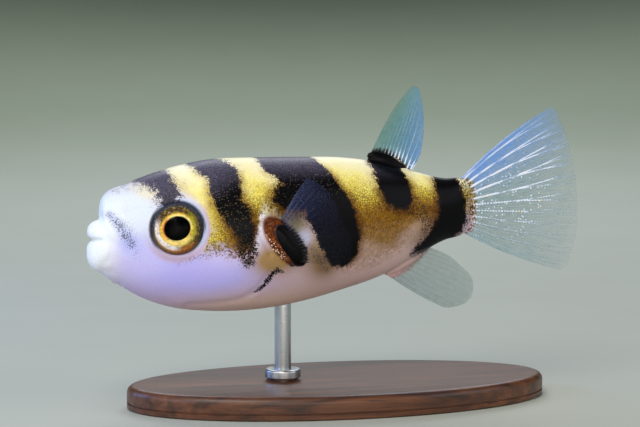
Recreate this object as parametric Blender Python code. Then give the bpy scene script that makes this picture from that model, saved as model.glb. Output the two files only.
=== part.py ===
# Amazon puffer (Colomesus asellus), life size, as a still museum model on a display stand.
#
# Frame: metres, +Z up, floor at Z = 0. The fish faces -X and its left side faces -Y.
# The origin is the middle of the underside of the stand's base.
# Shapes are worked out in millimetres: s is the distance behind the snout, y is to the fish's
# right, and h is the height above the lowest point of the belly.

import math

import bmesh
import bpy
import numpy as np
from mathutils import Euler, Matrix, Vector

MM = 0.001

# Driving dimensions, in millimetres
SNOUT_X = -34.0            # snout tip, from the middle of the stand
BELLY_Z = 12.5             # lowest point of the belly, above the floor
GAP = 0.25                 # clearance between neighbouring solids
NECK_S = 20.6              # head and trunk part here, just ahead of the pectoral fins
STALK_S = 46.9             # trunk and tail stalk part here, just behind the anal fin

# Body stations: s, back height, belly height, half width, height of the widest level, and how
# square the section is above and below that level (2 is an ellipse)
BODY = (
    (2.15, 12.2, 9.4, 1.1, 10.9, 2.0, 2.0),
    (1.90, 13.6, 7.9, 2.1, 10.8, 2.1, 2.0),
    (2.05, 14.9, 6.5, 2.9, 10.6, 2.2, 2.1),
    (2.90, 15.95, 5.1, 3.6, 10.3, 2.3, 2.2),
    (4.80, 16.7, 3.45, 4.5, 10.0, 2.4, 2.2),
    (7.40, 17.7, 1.95, 5.6, 9.8, 2.5, 2.3),
    (11.0, 18.85, 0.75, 6.7, 9.5, 2.5, 2.3),
    (16.0, 19.9, 0.15, 7.6, 9.1, 2.4, 2.3),
    (22.0, 20.15, 0.15, 7.8, 9.0, 2.3, 2.2),
    (28.0, 20.2, 0.95, 7.2, 9.6, 2.2, 2.1),
    (34.0, 20.1, 2.4, 6.0, 10.7, 2.1, 2.0),
    (39.5, 19.4, 4.1, 4.7, 11.6, 2.0, 2.0),
    (44.5, 17.9, 6.6, 3.4, 12.2, 2.0, 2.0),
    (49.0, 17.2, 8.8, 2.2, 13.0, 2.0, 2.0),
    (51.2, 17.2, 9.35, 1.4, 13.4, 2.0, 2.0),
    (52.3, 16.6, 10.1, 0.8, 13.4, 2.0, 2.0),
)
BODY_SIDES = 36
HEAD_RINGS = 20
TRUNK_RINGS = 14
STALK_RINGS = 6
ENVELOPE_RINGS = 40

# Eyes: a flattened ball in a socket, turned a little forward and up
EYE_S = 10.9
EYE_H = 11.2
EYE_Y = 5.25               # centre of the ball, from the middle plane
EYE_RADIUS = 3.55
EYE_DEPTH_RADIUS = 2.7
EYE_FORWARD = 12.0         # degrees
EYE_UPWARD = 6.0           # degrees

# Lips: each follows an arc round the mouth, fullest in the middle
UPPER_LIP = {"middle": (1.55, 11.0), "half_width": 2.3, "sweep": 1.5, "radii": (1.35, 1.2)}
LOWER_LIP = {"middle": (1.70, 7.6), "half_width": 2.6, "sweep": 1.6, "radii": (1.8, 1.95)}
LIP_SQUARENESS = 2.6
LIP_END = 0.55             # size of a lip at the corner of the mouth, against its middle
MOUTH_H = 9.7              # the cutting edges of the beak meet here

# Beak: two curved plates that show in the slit between the lips
BEAK = {"front_s": 0.72, "thick": 0.5, "half_width": 1.5, "sweep": 0.45, "height": 0.75, "slit": 0.2,
        "room": 2.0}

NOSTRIL = {"s": 5.4, "h": 14.2, "y": 4.45, "radii": (0.65, 0.5, 0.5)}

# Fleshy roots of the fins: centre (s, y, h), half sizes, and slope of the long side in degrees
PECTORAL_ROOT = {"centre": (24.4, 7.65, 9.4), "radii": (3.85, 1.35, 1.7), "slope": -50.0}
DORSAL_ROOT = {"centre": (41.0, 0.0, 19.3), "radii": (3.5, 0.95, 1.25), "slope": -21.0}
ANAL_ROOT = {"centre": (43.5, 0.0, 5.95), "radii": (3.7, 0.9, 1.1), "slope": 31.0}

# Fins: each is a fan of rays. Along the root, from the first ray to the last, are the ray's
# foot (s, y, h), its slope in degrees, its length, and how far it leans out from the body.
FIN_THICK = 0.5
FIN_RAYS = 14
FIN_STEPS = 5
DORSAL_FIN = {
    "feet": ((38.2, 0.0, 20.4), (41.1, 0.0, 19.5), (44.1, 0.0, 18.3)),
    "slope": (61.0, 66.0, 70.0, 72.0, 78.0),
    "length": (8.1, 10.2, 10.7, 9.3, 3.6),
    "bend": 6.0, "lean": (0.0, 0.0), "sway": 0.35,
}
ANAL_FIN = {
    "feet": ((40.6, 0.0, 4.2), (43.5, 0.0, 6.0), (46.6, 0.0, 7.8)),
    "slope": (-29.5, -28.0, -25.0, -22.0, -24.0),
    "length": (9.9, 11.0, 10.6, 8.4, 3.8),
    "bend": -7.0, "lean": (0.0, 0.0), "sway": -0.35,
}
CAUDAL_FIN = {
    "feet": ((50.9, 0.0, 16.75), (51.6, 0.0, 13.4), (50.9, 0.0, 10.1)),
    "slope": (36.5, 22.5, 4.0, -9.0, -20.5),
    "length": (16.5, 17.2, 17.2, 17.0, 15.8),
    "bend": 9.0, "lean": (0.0, 0.0), "sway": 0.6,
}
PECTORAL_FIN = {
    "feet": ((23.2, 8.3, 12.7), (25.1, 8.4, 9.9), (26.3, 8.2, 6.9)),
    "slope": (64.0, 50.0, 27.0, 10.0, -3.0),
    "length": (6.0, 7.2, 6.8, 7.1, 6.2),
    "bend": 4.0, "lean": (20.0, 16.0), "sway": 0.0,
}

# Display stand: an oval base, a rod into the belly, and a collar round the rod's foot
BASE_LENGTH = 58.0
BASE_WIDTH = 30.0
BASE_THICK = 3.0
BASE_BEVEL = 0.7
ROD_S = 26.0
ROD_RADIUS = 1.1
ROD_IN_BASE = 1.8
ROD_IN_BELLY = 4.0
COLLAR_RADIUS = 2.4
COLLAR_HEIGHT = 1.3


def place(s, y, h):
    # Body coordinates to world coordinates, both in millimetres
    return Vector((SNOUT_X + s, y, BELLY_Z + h))


def spline(knots, values, t):
    # A smooth curve through the values, one row for each knot
    knots = np.asarray(knots, float)
    values = np.asarray(values, float)
    slopes = np.gradient(values, knots, axis=0)
    i = int(np.clip(np.searchsorted(knots, t, side="right") - 1, 0, len(knots) - 2))
    span = knots[i + 1] - knots[i]
    u = (t - knots[i]) / span
    rise = values[i + 1] - values[i]
    blend = 3 * u ** 2 - 2 * u ** 3
    start = (u ** 3 - 2 * u ** 2 + u) * span
    end = (u ** 3 - u ** 2) * span
    return values[i] + rise * blend + slopes[i] * start + slopes[i + 1] * end


def along(keys, u):
    # Evenly spaced key values read at u, from 0 to 1
    return spline(np.linspace(0.0, 1.0, len(keys)), keys, u)


def body_knots():
    # Distance travelled along the stations, so that the blunt snout is as smooth as the back
    stations = np.array(BODY)[:, :4]
    steps = np.linalg.norm(np.diff(stations, axis=0), axis=1)
    return np.concatenate(([0.0], np.cumsum(steps)))


KNOTS = body_knots()


def knot_at(s):
    # The place on the spline where the body is s behind the snout
    low, high = KNOTS[3], KNOTS[-1]
    for _ in range(40):
        middle = (low + high) / 2
        if spline(KNOTS, BODY, middle)[0] < s:
            low = middle
        else:
            high = middle
    return (low + high) / 2


def body_ring(t, grow=0.0):
    # One section of the body, grown outwards by grow
    s, back, belly, half, wide, upper, lower = spline(KNOTS, BODY, t)
    ring = []
    for i in range(BODY_SIDES):
        angle = 2 * math.pi * i / BODY_SIDES
        side, up = math.cos(angle), math.sin(angle)
        power = 2 / (upper if up >= 0 else lower)
        reach = back - wide if up >= 0 else wide - belly
        y = (half + grow) * math.copysign(abs(side) ** power, side)
        h = wide + (reach + grow) * math.copysign(abs(up) ** power, up)
        ring.append(place(s, y, h))
    return ring


def material(name, colour, roughness, metallic=0.0):
    made = bpy.data.materials.new(name)
    made.use_nodes = True
    shader = made.node_tree.nodes["Principled BSDF"]
    shader.inputs["Base Color"].default_value = (*colour, 1.0)
    shader.inputs["Roughness"].default_value = roughness
    shader.inputs["Metallic"].default_value = metallic
    return made


def add_object(name, bm, finish=None, smooth_angle=40.0):
    # An object in metres from a shape in millimetres; without a finish it is a hidden cutter
    bm.normal_update()
    bmesh.ops.recalc_face_normals(bm, faces=bm.faces)
    bm.transform(Matrix.Scale(MM, 4))
    mesh = bpy.data.meshes.new(name)
    bm.to_mesh(mesh)
    bm.free()
    mesh.shade_smooth()
    mesh.set_sharp_from_angle(angle=math.radians(smooth_angle))
    obj = bpy.data.objects.new(name, mesh)
    bpy.context.scene.collection.objects.link(obj)
    if finish:
        mesh.materials.append(finish)
    else:
        obj.hide_render = True
        obj.display_type = "WIRE"
    return obj


def loft(rings):
    # Skin between rings of points, closed at both ends
    bm = bmesh.new()
    loops = [[bm.verts.new(point) for point in ring] for ring in rings]
    count = len(rings[0])
    for near, far in zip(loops, loops[1:]):
        for i in range(count):
            j = (i + 1) % count
            bm.faces.new((near[i], near[j], far[j], far[i]))
    bm.faces.new(loops[0])
    bm.faces.new(loops[-1])
    return bm


def body_length(start, end, rings, grow=0.0):
    # A length of the body between two places on the spline
    return loft([body_ring(t, grow) for t in np.linspace(start, end, rings)])


def ball(centre, radii, turn, grow=0.0, rings=10, sides=18):
    # A stretched ball: centre (s, y, h), half sizes along s, y and h before it is turned
    bm = bmesh.new()
    bmesh.ops.create_uvsphere(bm, u_segments=sides, v_segments=rings, radius=1.0)
    stretch = Matrix.Diagonal([radius + grow for radius in radii]).to_4x4()
    spot = Matrix.Translation(place(*centre))
    bm.transform(spot @ turn.to_matrix().to_4x4() @ stretch)
    return bm


def body_envelope(name, shift):
    # The body's shape grown by the clearance and moved along by shift: it trims what is set there
    envelope = add_object(name, body_length(0.0, KNOTS[-1], ENVELOPE_RINGS, GAP))
    envelope.location.x = shift * MM
    return envelope


def cut(obj, cutters):
    for cutter in cutters:
        boolean = obj.modifiers.new("cut_" + cutter.name, "BOOLEAN")
        boolean.operation = "DIFFERENCE"
        boolean.solver = "EXACT"
        boolean.object = cutter


def slope_turn(degrees):
    # Turn that raises the rear end by this slope, in the middle plane
    return Euler((0.0, -math.radians(degrees), 0.0))


def eye_turn(side):
    # The ball's own Z axis looks out of the head
    aim = Vector((-math.sin(math.radians(EYE_FORWARD)), side, math.sin(math.radians(EYE_UPWARD))))
    return aim.to_track_quat("Z", "X").to_euler()


def eye_ball(side, grow=0.0):
    radii = (EYE_RADIUS, EYE_RADIUS, EYE_DEPTH_RADIUS)
    return ball((EYE_S, side * EYE_Y, EYE_H), radii, eye_turn(side), grow, 11, 22)


def mouth_arc(u, half_width, sweep):
    # A place on an arc round the mouth, u from -1 to 1: distance to the side, and set-back
    angle = u * math.pi / 2
    return half_width * math.sin(angle), sweep * (1 - math.cos(angle))


def lip(shape, steps=14, sides=14):
    # A roll of flesh from one corner of the mouth to the other
    rings = []
    for u in np.linspace(-1.0, 1.0, steps):
        side, back = mouth_arc(u, shape["half_width"], shape["sweep"])
        size = LIP_END + (1 - LIP_END) * math.cos(u * math.pi / 2)
        toward_mouth = (MOUTH_H - shape["middle"][1]) * (1 - size)
        turn = math.radians(70.0) * u
        ring = []
        for i in range(sides):
            angle = 2 * math.pi * i / sides
            power = 2 / LIP_SQUARENESS
            out = shape["radii"][0] * size * math.copysign(abs(math.cos(angle)) ** power, math.cos(angle))
            up = shape["radii"][1] * size * math.copysign(abs(math.sin(angle)) ** power, math.sin(angle))
            s = shape["middle"][0] + back - out * math.cos(turn)
            y = side + out * math.sin(turn)
            ring.append(place(s, y, shape["middle"][1] + toward_mouth + up))
        rings.append(ring)
    return loft(rings)


def beak_plate(low, high, thick=BEAK["thick"], grow=0.0, steps=10):
    # A plate curved round the front of the mouth, between two heights
    rings = []
    front = BEAK["front_s"] - grow
    rear = BEAK["front_s"] + thick + grow
    for u in np.linspace(-1.0, 1.0, steps):
        side, back = mouth_arc(u * 0.8, BEAK["half_width"] + grow, BEAK["sweep"])
        corners = ((front, low - grow), (rear, low - grow), (rear, high + grow), (front, high + grow))
        rings.append([place(s + back, side, h) for s, h in corners])
    return loft(rings)


def fin_point(fin, u, v, side=1.0):
    # A point on the middle surface of a fin: u along the root, v along the ray
    s, y, h = along(fin["feet"], u)
    slope = math.radians(along(fin["slope"], u) + fin["bend"] * (1 - v) * (1 - 2 * u))
    lean = math.radians(along(fin["lean"], u))
    reach = along(fin["length"], u) * v
    wave = fin["sway"] * v ** 2 * math.sin(2 * math.pi * u)
    s = s + reach * math.cos(slope) * math.cos(lean)
    h = h + reach * math.sin(slope) * math.cos(lean)
    y = y + reach * math.sin(lean) + wave
    return np.array((s, y * side, h))


def fin_normal(fin, u, v, side):
    step = 0.02
    across = fin_point(fin, min(u + step, 1.0), v, side) - fin_point(fin, max(u - step, 0.0), v, side)
    outward = fin_point(fin, u, v + step, side) - fin_point(fin, u, v - step, side)
    normal = np.cross(across, outward)
    return normal / np.linalg.norm(normal)


def fin_blade(fin, side=1.0):
    # Both faces of the fin, half its thickness to each side of the middle surface
    bm = bmesh.new()
    half = FIN_THICK / 2
    faces = []
    for way in (half, -half):
        grid = []
        for u in np.linspace(0.0, 1.0, FIN_RAYS + 1):
            row = []
            for v in np.linspace(0.06, 1.0, FIN_STEPS + 1):
                point = fin_point(fin, u, v, side) + way * fin_normal(fin, u, v, side)
                row.append(bm.verts.new(place(*point)))
            grid.append(row)
        faces.append(grid)
    near, far = faces
    for i in range(FIN_RAYS):
        for j in range(FIN_STEPS):
            bm.faces.new((near[i][j], near[i + 1][j], near[i + 1][j + 1], near[i][j + 1]))
            bm.faces.new((far[i][j], far[i][j + 1], far[i + 1][j + 1], far[i + 1][j]))
    rim = [(i, 0) for i in range(FIN_RAYS)]
    rim += [(FIN_RAYS, j) for j in range(FIN_STEPS)]
    rim += [(i, FIN_STEPS) for i in range(FIN_RAYS, 0, -1)]
    rim += [(0, j) for j in range(FIN_STEPS, 0, -1)]
    for (a, b), (c, d) in zip(rim, rim[1:] + rim[:1]):
        bm.faces.new((near[a][b], far[a][b], far[c][d], near[c][d]))
    return bm


def root_ball(root, side=1.0, grow=0.0):
    s, y, h = root["centre"]
    return ball((s, y * side, h), root["radii"], slope_turn(root["slope"]), grow)


def cylinder(x, radius, low, high, sides=20):
    # An upright round bar, in millimetres from the middle of the stand and the floor
    bm = bmesh.new()
    bmesh.ops.create_cone(
        bm, cap_ends=True, segments=sides, radius1=radius, radius2=radius, depth=high - low,
        matrix=Matrix.Translation((x, 0.0, (low + high) / 2)))
    return bm


def build_body(finishes, envelope):
    neck, stalk = knot_at(NECK_S), knot_at(STALK_S)
    neck_behind, stalk_behind = knot_at(NECK_S + GAP), knot_at(STALK_S + GAP)
    head = add_object("head", body_length(0.0, neck, HEAD_RINGS), finishes["skin_pale"])
    trunk = add_object("trunk", body_length(neck_behind, stalk, TRUNK_RINGS), finishes["skin_gold"])
    add_object("tail_stalk", body_length(stalk_behind, KNOTS[-1], STALK_RINGS), finishes["skin_black"])
    for name, side in (("left", -1.0), ("right", 1.0)):
        add_object("eye_" + name, eye_ball(side), finishes["eye"])
        cut(head, [add_object("socket_" + name, eye_ball(side, GAP))])
        nostril = ball((NOSTRIL["s"], side * NOSTRIL["y"], NOSTRIL["h"]), NOSTRIL["radii"],
                       slope_turn(0.0), 0.0, 6, 9)
        cut(add_object("nostril_" + name, nostril, finishes["skin_pale"]), [envelope])
    return trunk


def build_mouth(finishes, envelope):
    beak_room = add_object("beak_room", beak_plate(
        MOUTH_H - BEAK["height"], MOUTH_H + BEAK["height"], BEAK["room"], GAP))
    for name, shape in (("upper_lip", UPPER_LIP), ("lower_lip", LOWER_LIP)):
        cut(add_object(name, lip(shape), finishes["skin_pale"]), [envelope, beak_room])
    half_slit = BEAK["slit"] / 2
    upper = beak_plate(MOUTH_H + half_slit, MOUTH_H + BEAK["height"])
    lower = beak_plate(MOUTH_H - BEAK["height"], MOUTH_H - half_slit)
    add_object("beak_upper", upper, finishes["beak"])
    add_object("beak_lower", lower, finishes["beak"])


def build_fins(finishes, envelope):
    sides = ((-1.0, "_left"), (1.0, "_right"))
    fins = [("pectoral_fin" + name, "pectoral_root" + name, PECTORAL_FIN, PECTORAL_ROOT, side)
            for side, name in sides]
    fins.append(("dorsal_fin", "dorsal_root", DORSAL_FIN, DORSAL_ROOT, 1.0))
    fins.append(("anal_fin", "anal_root", ANAL_FIN, ANAL_ROOT, 1.0))
    for fin_name, root_name, fin, root, side in fins:
        cut(add_object(root_name, root_ball(root, side), finishes["skin_black"]), [envelope])
        root_room = add_object(root_name + "_room", root_ball(root, side, GAP))
        cut(add_object(fin_name, fin_blade(fin, side), finishes["fin"]), [envelope, root_room])
    tail_envelope = body_envelope("tail_envelope", GAP)
    cut(add_object("caudal_fin", fin_blade(CAUDAL_FIN), finishes["fin"]), [tail_envelope])


def build_stand(finishes, trunk):
    rod_x = SNOUT_X + ROD_S
    rod_top = BELLY_Z + ROD_IN_BELLY
    rod_foot = BASE_THICK - ROD_IN_BASE
    base = cylinder(0.0, 1.0, 0.0, BASE_THICK, 40)
    base.transform(Matrix.Diagonal((BASE_LENGTH / 2, BASE_WIDTH / 2, 1.0)).to_4x4())
    rim = [edge for edge in base.edges if edge.calc_face_angle() > 1.0]
    bmesh.ops.bevel(base, geom=rim, offset=BASE_BEVEL, segments=2, affect="EDGES", profile=0.5)
    base_obj = add_object("stand_base", base, finishes["wood"])
    cut(base_obj, [add_object("rod_hole", cylinder(
        rod_x, ROD_RADIUS + GAP, rod_foot - GAP, BASE_THICK + 1.0))])
    add_object("stand_rod", cylinder(rod_x, ROD_RADIUS, rod_foot, rod_top), finishes["steel"])
    cut(trunk, [add_object("rod_socket", cylinder(
        rod_x, ROD_RADIUS + GAP, BELLY_Z - 2.0, rod_top + GAP))])
    collar = add_object("stand_collar", cylinder(
        rod_x, COLLAR_RADIUS, BASE_THICK + GAP, BASE_THICK + GAP + COLLAR_HEIGHT), finishes["steel"])
    cut(collar, [add_object("collar_bore", cylinder(
        rod_x, ROD_RADIUS + GAP, BASE_THICK, BASE_THICK + COLLAR_HEIGHT + 2.0))])


def main():
    for obj in list(bpy.data.objects):
        bpy.data.objects.remove(obj, do_unlink=True)
    finishes = {
        "skin_pale": material("skin_pale", (0.80, 0.78, 0.86), 0.38),
        "skin_gold": material("skin_gold", (0.72, 0.50, 0.06), 0.38),
        "skin_black": material("skin_black", (0.02, 0.018, 0.022), 0.40),
        "eye": material("eye", (0.75, 0.52, 0.05), 0.08),
        "beak": material("beak", (0.90, 0.87, 0.78), 0.25),
        "fin": material("fin", (0.42, 0.55, 0.62), 0.30),
        "wood": material("wood", (0.12, 0.06, 0.03), 0.45),
        "steel": material("steel", (0.60, 0.60, 0.60), 0.30, 1.0),
    }
    envelope = body_envelope("body_envelope", -GAP)
    trunk = build_body(finishes, envelope)
    build_mouth(finishes, envelope)
    build_fins(finishes, envelope)
    build_stand(finishes, trunk)


main()
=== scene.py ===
import math
from functools import partial

import bmesh
import bpy
import numpy as np
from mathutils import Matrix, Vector
from mathutils.bvhtree import BVHTree


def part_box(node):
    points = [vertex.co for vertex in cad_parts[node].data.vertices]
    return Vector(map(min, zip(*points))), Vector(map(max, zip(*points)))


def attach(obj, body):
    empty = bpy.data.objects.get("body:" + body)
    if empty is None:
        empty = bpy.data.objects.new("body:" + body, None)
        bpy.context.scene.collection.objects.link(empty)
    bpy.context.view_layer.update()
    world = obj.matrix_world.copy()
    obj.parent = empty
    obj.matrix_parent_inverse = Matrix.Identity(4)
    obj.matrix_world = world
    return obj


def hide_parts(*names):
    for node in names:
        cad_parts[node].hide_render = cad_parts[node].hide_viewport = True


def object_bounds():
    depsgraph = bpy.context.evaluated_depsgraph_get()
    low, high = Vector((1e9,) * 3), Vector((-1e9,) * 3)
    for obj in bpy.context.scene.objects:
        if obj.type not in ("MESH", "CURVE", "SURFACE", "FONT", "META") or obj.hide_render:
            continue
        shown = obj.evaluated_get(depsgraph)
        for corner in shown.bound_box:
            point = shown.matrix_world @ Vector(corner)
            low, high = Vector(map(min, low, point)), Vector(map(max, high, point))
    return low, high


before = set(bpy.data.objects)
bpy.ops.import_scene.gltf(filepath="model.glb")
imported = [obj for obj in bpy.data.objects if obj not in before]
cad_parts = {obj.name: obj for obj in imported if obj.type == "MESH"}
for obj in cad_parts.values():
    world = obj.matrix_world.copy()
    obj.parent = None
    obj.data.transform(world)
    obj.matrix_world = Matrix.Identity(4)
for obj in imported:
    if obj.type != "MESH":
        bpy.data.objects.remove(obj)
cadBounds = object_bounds()

mm = 0.001
leftAndRight = (("Left", "left", -1.0), ("Right", "right", 1.0))

# Where the parts of the head sit, in body coordinates
eye = {
    "s": 10.9, "y": 5.25, "h": 11.2,  # centre of the ball
    "radius": 3.55, "depthRadius": 2.7,
    "forward": 12.0, "upward": 6.0,  # degrees that the eye looks forward and up
}

# The frame's left eye fixes the body coordinates
eyeLow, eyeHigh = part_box("eye_left")
snoutX = (eyeLow.x + eyeHigh.x) / 2 / mm - eye["s"]
bellyZ = (eyeLow.z + eyeHigh.z) / 2 / mm - eye["h"]


def linear(hexColour):
    # "#rrggbb" in sRGB to linear red, green and blue
    values = [int(hexColour[i:i + 2], 16) / 255 for i in (1, 3, 5)]
    return tuple(v / 12.92 if v <= 0.04045 else ((v + 0.055) / 1.055) ** 2.4 for v in values)


def rgba(hexColour):
    return (*linear(hexColour), 1.0)


def smooth(low, high, x):
    # 0 at low and 1 at high, with a soft start and end; low may be the larger
    t = np.clip((x - low) / (high - low), 0.0, 1.0)
    return t * t * (3 - 2 * t)


def spline(knots, values, t):
    # A smooth curve through the values, one row for each knot, read at all of t
    knots, values, t = (np.asarray(part, float) for part in (knots, values, t))
    slopes = np.gradient(values, knots, axis=0)
    i = np.clip(np.searchsorted(knots, t, side="right") - 1, 0, len(knots) - 2)
    shape = t.shape + (1,) * (values.ndim - 1)
    span = (knots[i + 1] - knots[i]).reshape(shape)
    u = (t - knots[i]).reshape(shape) / span
    rise = values[i + 1] - values[i]
    return (values[i] + rise * (3 * u ** 2 - 2 * u ** 3)
            + slopes[i] * (u ** 3 - 2 * u ** 2 + u) * span
            + slopes[i + 1] * (u ** 3 - u ** 2) * span)


def along(keys, u):
    # Evenly spaced key values read at u, from 0 to 1
    return spline(np.linspace(0.0, 1.0, len(keys)), keys, u)


def chainDistance(chain, s, h):
    # Distance in mm to a chain of tapered strokes (s, h, half width), negative inside
    best = np.full(np.shape(s), 1e9)
    for (s0, h0, r0), (s1, h1, r1) in zip(chain, chain[1:]):
        ds, dh = s1 - s0, h1 - h0
        t = np.clip(((s - s0) * ds + (h - h0) * dh) / (ds * ds + dh * dh), 0.0, 1.0)
        gap = np.hypot(s - s0 - t * ds, h - h0 - t * dh) - (r0 + t * (r1 - r0))
        best = np.minimum(best, gap)
    return best


def blob(s, h, centreS, centreH, radiusS, radiusH):
    # A soft oval patch, 1 at its centre
    return np.exp(-((s - centreS) / radiusS) ** 2 - ((h - centreH) / radiusH) ** 2)


def signedPower(x, power):
    # x raised to a power with its sign kept, for rounded squares
    return np.sign(x) * np.abs(x) ** power


def fullTurn(sides):
    # Angles right round, in radians
    return np.linspace(0.0, 2 * math.pi, sides, endpoint=False)


def lay(tone, colour, share):
    # Lays a colour over the points' tones, by each point's share
    share = np.clip(share, 0.0, 1.0)[:, None]
    return tone * (1 - share) + np.array(linear(colour)) * share


def toWorld(points):
    # Body coordinates in mm to world coordinates in metres
    return (np.asarray(points, float) + (snoutX, 0.0, bellyZ)) * mm


def readLocal(mesh):
    # A mesh's points in body coordinates
    flat = np.zeros(len(mesh.vertices) * 3)
    mesh.vertices.foreach_get("co", flat)
    return flat.reshape(-1, 3) / mm - (snoutX, 0.0, bellyZ)


def placeLocal(mesh, points):
    # Moves a mesh's points to body coordinates, and gives its new normals
    mesh.vertices.foreach_set("co", toWorld(points).ravel())
    mesh.update()
    normals = np.zeros(points.size)
    mesh.vertex_normals.foreach_get("vector", normals)
    return normals.reshape(-1, 3)


def newObject(name, points, faces, material=None):
    # An object from points in metres, smooth shaded with its faces pointing out
    mesh = bpy.data.meshes.new(name)
    mesh.from_pydata(np.asarray(points, float).tolist(), [], [list(f) for f in faces])
    made = bmesh.new()
    made.from_mesh(mesh)
    made.normal_update()
    bmesh.ops.recalc_face_normals(made, faces=made.faces)
    made.to_mesh(mesh)
    made.free()
    mesh.shade_smooth()
    obj = bpy.data.objects.new(name, mesh)
    bpy.context.scene.collection.objects.link(obj)
    if material:
        mesh.materials.append(material)
    return obj


def writeAttribute(mesh, name, values):
    # A number, or a colour, for each point of the mesh
    values = np.asarray(values, float)
    if values.ndim == 1:
        made = mesh.attributes.new(name, "FLOAT", "POINT")
        made.data.foreach_set("value", values)
    else:
        made = mesh.attributes.new(name, "FLOAT_COLOR", "POINT")
        made.data.foreach_set("color", np.column_stack((values, np.ones(len(values)))).ravel())


def gridFaces(rows, columns, closed=True, caps=2):
    # Quads between rows of points. Closed joins each row's last point to its first, and caps says
    # how many of the two end rows get a face of their own
    faces = []
    for i in range(rows - 1):
        for j in range(columns if closed else columns - 1):
            k = (j + 1) % columns
            a, b = i * columns, (i + 1) * columns
            faces.append((a + j, a + k, b + k, b + j))
    ends = (range(columns), range((rows - 1) * columns, rows * columns))
    return faces + [tuple(end) for end in ends[:caps]]


def turnProfile(name, profile, place, material, sides, caps=2):
    # Turns a profile of (radius, level) right round; place gives the points in the world
    radius, level = np.asarray(profile, float).T[:, :, None]
    points = place(radius, level, fullTurn(sides)[None, :]).reshape(-1, 3)
    return newObject(name, points, gridFaces(len(profile), sides, caps=caps), material)


def ovalPlace(centre, halfSizes):
    # Points of a profile turned round an upright axis, in mm; its radii are added to the half sizes
    def place(radius, level, angle):
        x = (halfSizes[0] + radius) * np.cos(angle)
        y = (halfSizes[1] + radius) * np.sin(angle)
        return np.stack((x, y, level + 0 * angle), axis=-1) * mm + (*centre, 0.0)
    return place


def settle(piece, slot, *cadNodes):
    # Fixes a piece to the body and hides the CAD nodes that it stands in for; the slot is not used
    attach(piece, "root")
    if cadNodes:
        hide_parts(*cadNodes)


def feed(socket, value):
    # Sets a socket, or links it to a socket or to a node's first output in use
    if isinstance(value, bpy.types.Node):
        value = next(output for output in value.outputs if output.enabled)
    if isinstance(value, bpy.types.NodeSocket):
        socket.id_data.links.new(value, socket)
    elif value is not None:
        socket.default_value = value


modes = {"Math": "operation", "VectorMath": "operation", "Mix": "data_type"}


def addNode(tree, kind, *inputs, **settings):
    # Adds a shader node with its settings, then feeds its inputs in use, in turn. The kind may be
    # followed by the node's mode, as in "Math MULTIPLY"
    kind, *mode = kind.split()
    node = tree.nodes.new("ShaderNode" + kind)
    if mode:
        setattr(node, modes[kind], mode[0])
    for name, value in settings.items():
        setattr(node, name, value)
    sockets = [socket for socket in node.inputs if socket.enabled]
    for socket, value in zip(sockets, inputs):
        feed(socket, value)
    return node


def newMaterial(name, values):
    # A material with one Principled shader; values are its fixed sockets. Also returns the function
    # that adds nodes to it, and a place vector in mm
    material = bpy.data.materials.new(name)
    material.use_nodes = True
    shader = material.node_tree.nodes["Principled BSDF"]
    for socket, value in values.items():
        shader.inputs[socket].default_value = value
    add = partial(addNode, material.node_tree)
    place = add("VectorMath SCALE", add("TexCoord").outputs["Object"], 1 / mm)
    return material, shader, add, place


def fillRamp(ramp, keys):
    # Colours along a colour ramp: (position, colour)
    for position, _ in keys[1:-1]:
        ramp.elements.new(position)
    for element, (position, colour) in zip(ramp.elements, keys):
        element.position = position
        element.color = rgba(colour)


# Stations along the body: s, back height, belly height, half width, height of the widest level,
# and how square the section is above and below that level (2 is an ellipse)
body = {
    "stations": (
        (2.15, 12.2, 9.4, 1.1, 10.9, 2.0, 2.0),
        (1.90, 13.6, 7.9, 2.1, 10.8, 2.1, 2.0),
        (2.05, 14.9, 6.5, 2.9, 10.6, 2.2, 2.1),
        (2.90, 15.95, 5.1, 3.6, 10.3, 2.3, 2.2),
        (4.80, 16.7, 3.45, 4.5, 10.0, 2.4, 2.2),
        (7.40, 17.7, 1.95, 5.6, 9.8, 2.5, 2.3),
        (11.0, 18.85, 0.75, 6.7, 9.5, 2.5, 2.3),
        (16.0, 19.9, 0.15, 7.6, 9.1, 2.4, 2.3),
        (22.0, 20.15, 0.15, 7.8, 9.0, 2.3, 2.2),
        (28.0, 20.2, 0.95, 7.2, 9.6, 2.2, 2.1),
        (34.0, 20.1, 2.4, 6.0, 10.7, 2.1, 2.0),
        (39.5, 19.4, 4.1, 4.7, 11.6, 2.0, 2.0),
        (44.5, 18.1, 6.6, 3.4, 12.2, 2.0, 2.0),
        (49.0, 17.2, 8.8, 2.2, 13.0, 2.0, 2.0),
        (51.2, 17.2, 9.35, 1.4, 13.4, 2.0, 2.0),
        (52.3, 16.6, 10.1, 0.8, 13.4, 2.0, 2.0),
    ),
    "rings": 220, "sides": 140,
    "voxelMm": 0.187,  # size of the skin's facets
    # Evening out, as a share of the way and a number of passes: first the facets' steps, then the
    # creases behind the lips, twice, and last the folds
    "facets": (0.55, 12), "creases": (0.5, 60), "filledCreases": (0.5, 12), "folds": (0.4, 4),
    "creaseEnd": (7.5, 5.0),  # s where the creases end
    "mouthHalfHeight": (0.95, 0.6), "mouthHalfWidth": (2.9, 2.4),  # the open mouth isn't filled
    "filling": (-0.01, 0.03),  # a crease is filled outwards only, in mm
    "onSide": (0.3, 1.6),  # from here outwards, in mm, a point belongs to one flank
}
stations = np.array(body["stations"])
stationKnots = np.concatenate(([0.0], np.cumsum(np.linalg.norm(np.diff(stations[:, :4], axis=0), axis=1))))

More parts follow.
